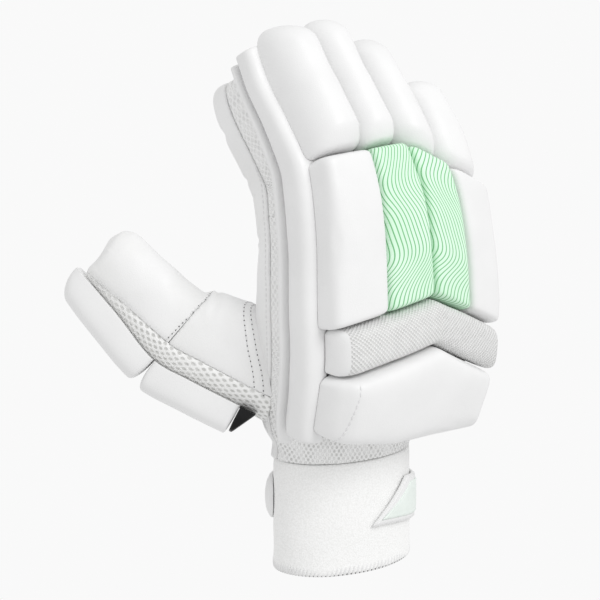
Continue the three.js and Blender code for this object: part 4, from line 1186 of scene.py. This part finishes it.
BALL_POINTS, BALL_FACES = ball()
THREADS, SHADE_DOTS = [], []


def put_balls(store, centres, along, normal, size):
    """Flattened balls of size (length, width, height) at the centres."""
    sideways = unit(np.cross(normal, along))
    axes = np.stack([along, sideways, np.cross(along, sideways)], 1)
    local = BALL_POINTS * np.array(size) / 2
    store.append(centres[:, None, :] + np.einsum("kj,njc->nkc", local, axes))


def surface_of(*pieces):
    points, faces = [], []
    for piece in pieces:
        faces.extend([[v + len(points) for v in polygon.vertices] for polygon in piece.data.polygons])
        points.extend((mesh_points(piece.data) / MM).tolist())
    return BVHTree.FromPolygons(points, faces)


def sewn_row(surface, line, outward, pitch, thread, hole=None, reach=14.0):
    """A row of stitches on the surface under a line of points; outward points off the surface."""
    hits = []
    for point, up in zip(line, unit(outward)):
        spot = surface.ray_cast(Vector(point + up * reach), Vector(-up), 2 * reach)
        if spot[0] is not None:
            hits.append((*spot[0], *spot[1]))
    hits = np.array(hits)
    run = running(np.linalg.norm(np.diff(hits[:, :3], axis=0), axis=1))
    even = np.arange(pitch / 2, run[-1], pitch)
    spots = np.stack([np.interp(even, run, hits[:, k]) for k in range(3)], 1)
    normals = unit(np.stack([np.interp(even, run, hits[:, k]) for k in range(3, 6)], 1))
    forward = unit(np.gradient(spots, axis=0))
    forward = unit(forward - normals * (forward * normals).sum(1, keepdims=True))
    put_balls(THREADS, spots + normals * thread[2] * 0.2, forward, normals, thread)
    # A dark dot of painted shade sits in the needle hole between stitches
    if hole:
        between = spots + forward * pitch / 2
        put_balls(SHADE_DOTS, between + normals * hole[2] * 0.1, forward, normals, hole)


def stitch_piece(name, stored, material):
    balls = np.concatenate(stored)
    count = len(BALL_POINTS)
    faces = (BALL_FACES[None] + (np.arange(len(balls)) * count)[:, None, None]).reshape(-1, 3)
    new_piece(name, balls.reshape(-1, 3), faces, material)


def zero_line(data, triangles, value, sort_by):
    """Points where the value passes zero, in the order of sort_by."""
    cut, _ = split(np.hstack([data, value[:, None], sort_by[:, None]]), triangles, value)
    on = cut[np.abs(cut[:, -2]) < 1e-6]
    return on[np.argsort(on[:, -1])]


pieces = bpy.data.objects
DOT = (0.78, 0.60, 0.34)
FINE_THREAD = (1.7, 0.62, 0.42)

# Beside the thumb's cross seam, and two rows where the thumb leather joins the hand
thumb_surface = surface_of(pieces["thumb_tip_leather_cover"], pieces["thumb_base_leather_cover"])
angle = np.arctan2(leather_data[:, ACROSS], leather_data[:, DEEP] - 18)
line = zero_line(leather_data, leather_triangles,
                 (leather_data[:, ALONG] - THUMB_JOINT) * THUMB.length - 2.6, angle)
sewn_row(thumb_surface, line[:, POINT], line[:, NORMAL], 2.5, FINE_THREAD, DOT, 4.0)
for run in (1.9, 3.9):
    line = zero_line(leather_data, leather_triangles, leather_data[:, OTHER] - run, angle)
    sewn_row(thumb_surface, line[:, POINT], line[:, NORMAL], 2.5, FINE_THREAD, DOT, 4.0)

# Down the wrist pad near its left end, leaning
share = np.linspace(0.03, 0.97, 40)
at = lerp(2.6, 7.6, share) / wrist_pad_width
crest = wrist_place(at, share, np.full(40, WRIST_PAD_HEIGHT))
below = wrist_place(at, share, np.full(40, WRIST_PAD_HEIGHT - 5.0))
sewn_row(surface_of(wrist_pad), crest, crest - below, 3.0, (2.3, 0.85, 0.6))

# Along the palm leather's edge, on the index and the little finger's side
palm_surface = surface_of(pieces["palm_leather_cover"])
for side in (-1, 1):
    along = np.linspace(0.03, 0.93 if side < 0 else 0.75, 300)
    left, right, _, _ = hand_box(along)
    slim = lerp(1, 0.9, smoothstep(along, 0.6, 0.85))
    line = HAND.place(left if side < 0 else right, (LEATHER_EDGE + 2.2) * slim, along)
    sewn_row(palm_surface, line, np.repeat([[side, 0.0, 0.0]], 300, 0), 2.6, FINE_THREAD, None, 8.0)

# Overlocked hem round the cuff's opening
HEM_STITCHES = 100
turns = np.linspace(0, 2 * math.pi, HEM_STITCHES + 1)[:-1]
upright = np.repeat([[0.0, 0.0, 1.0]], HEM_STITCHES, 0)
radial = out_of_cuff(turns)
tangent = np.cross(upright, radial)
put_balls(THREADS, round_cuff(turns, -0.1, 2.7), unit(upright + 0.25 * tangent), radial, (4.6, 1.15, 0.9))
# Dark dots of painted shade in the gaps along the hem's edge
put_balls(SHADE_DOTS, round_cuff(turns, -0.35, 0.9) + tangent * 1.05, upright, radial, (0.9, 0.6, 0.5))
stitch_piece("stitch_threads", THREADS, THREAD)
stitch_piece("painted_shade_dots", SHADE_DOTS, HOLE_SHADE)

# The band's left end is a smooth leather cap
band.data.materials.append(LEATHER)
CAP_LENGTH, CAP_SIDE = 3.0, 0.75
band_uv = band.data.uv_layers[0].data
for polygon in band.data.polygons:
    if np.mean([band_uv[i].uv[1] for i in polygon.loop_indices]) < CAP_LENGTH + BAND_HEIGHT * CAP_SIDE:
        polygon.material_index = 1


# Camera, light and floor
AIM = Vector((0.0010, 0.0307, 0.1270))
TOWARDS_EYE = Vector((-0.696, -0.696, 0.174)).normalized()
VIEW_RIGHT = Vector((0.707, -0.707, 0))
EYE_DISTANCE = 1.1


def look_at_glove(thing, offset):
    thing.location = AIM + offset
    thing.rotation_euler = (-offset).to_track_quat("-Z", "Y").to_euler()


camera_data = bpy.data.cameras.new("Photo_view")
camera_data.lens, camera_data.sensor_width = 132, 36
camera = add_object("Photo_view", camera_data)
look_at_glove(camera, TOWARDS_EYE * EYE_DISTANCE)
bpy.context.scene.camera = camera
key_data = bpy.data.lights.new("Key", "AREA")
key_data.shape, key_data.size, key_data.energy = "DISK", 0.7, 7.0
look_at_glove(add_object("Key", key_data), VIEW_RIGHT * 0.8 + TOWARDS_EYE * 0.8 + Vector((0, 0, 0.8)))

world = bpy.data.worlds.new("Pale_studio")
world.use_nodes = True
sky = world.node_tree.nodes["Background"].inputs
sky["Color"].default_value = (0.95, 0.95, 0.95, 1)
sky["Strength"].default_value = 0.85
bpy.context.scene.world = world
bpy.context.scene.view_settings.view_transform = "Standard"

# A pale floor far below, which shows plain white and doesn't light the glove
FLOOR_HALF, FLOOR_LEVEL = 60.0, -0.35
floor_mesh = bpy.data.meshes.new("Floor")
floor_mesh.from_pydata([(x * FLOOR_HALF, y * FLOOR_HALF, FLOOR_LEVEL) for x, y in
                        ((-1, -1), (1, -1), (1, 1), (-1, 1))], [], [(0, 1, 2, 3)])
floor = add_object("Floor", floor_mesh)
paper = Nodes("white_paper")
grain = paper.add("ShaderNodeTexNoise", {"Scale": 2.0}).outputs["Fac"]
glow = paper.add("ShaderNodeEmission", {"Color": paper.mix(grain, (0.944,) * 3, (0.953,) * 3)}).outputs[0]
paper.tree.links.new(glow, paper.tree.nodes["Material Output"].inputs["Surface"])
paper.tree.nodes.remove(paper.shader)
floor_mesh.materials.append(paper.material)
floor.visible_diffuse = floor.visible_glossy = floor.visible_shadow = False
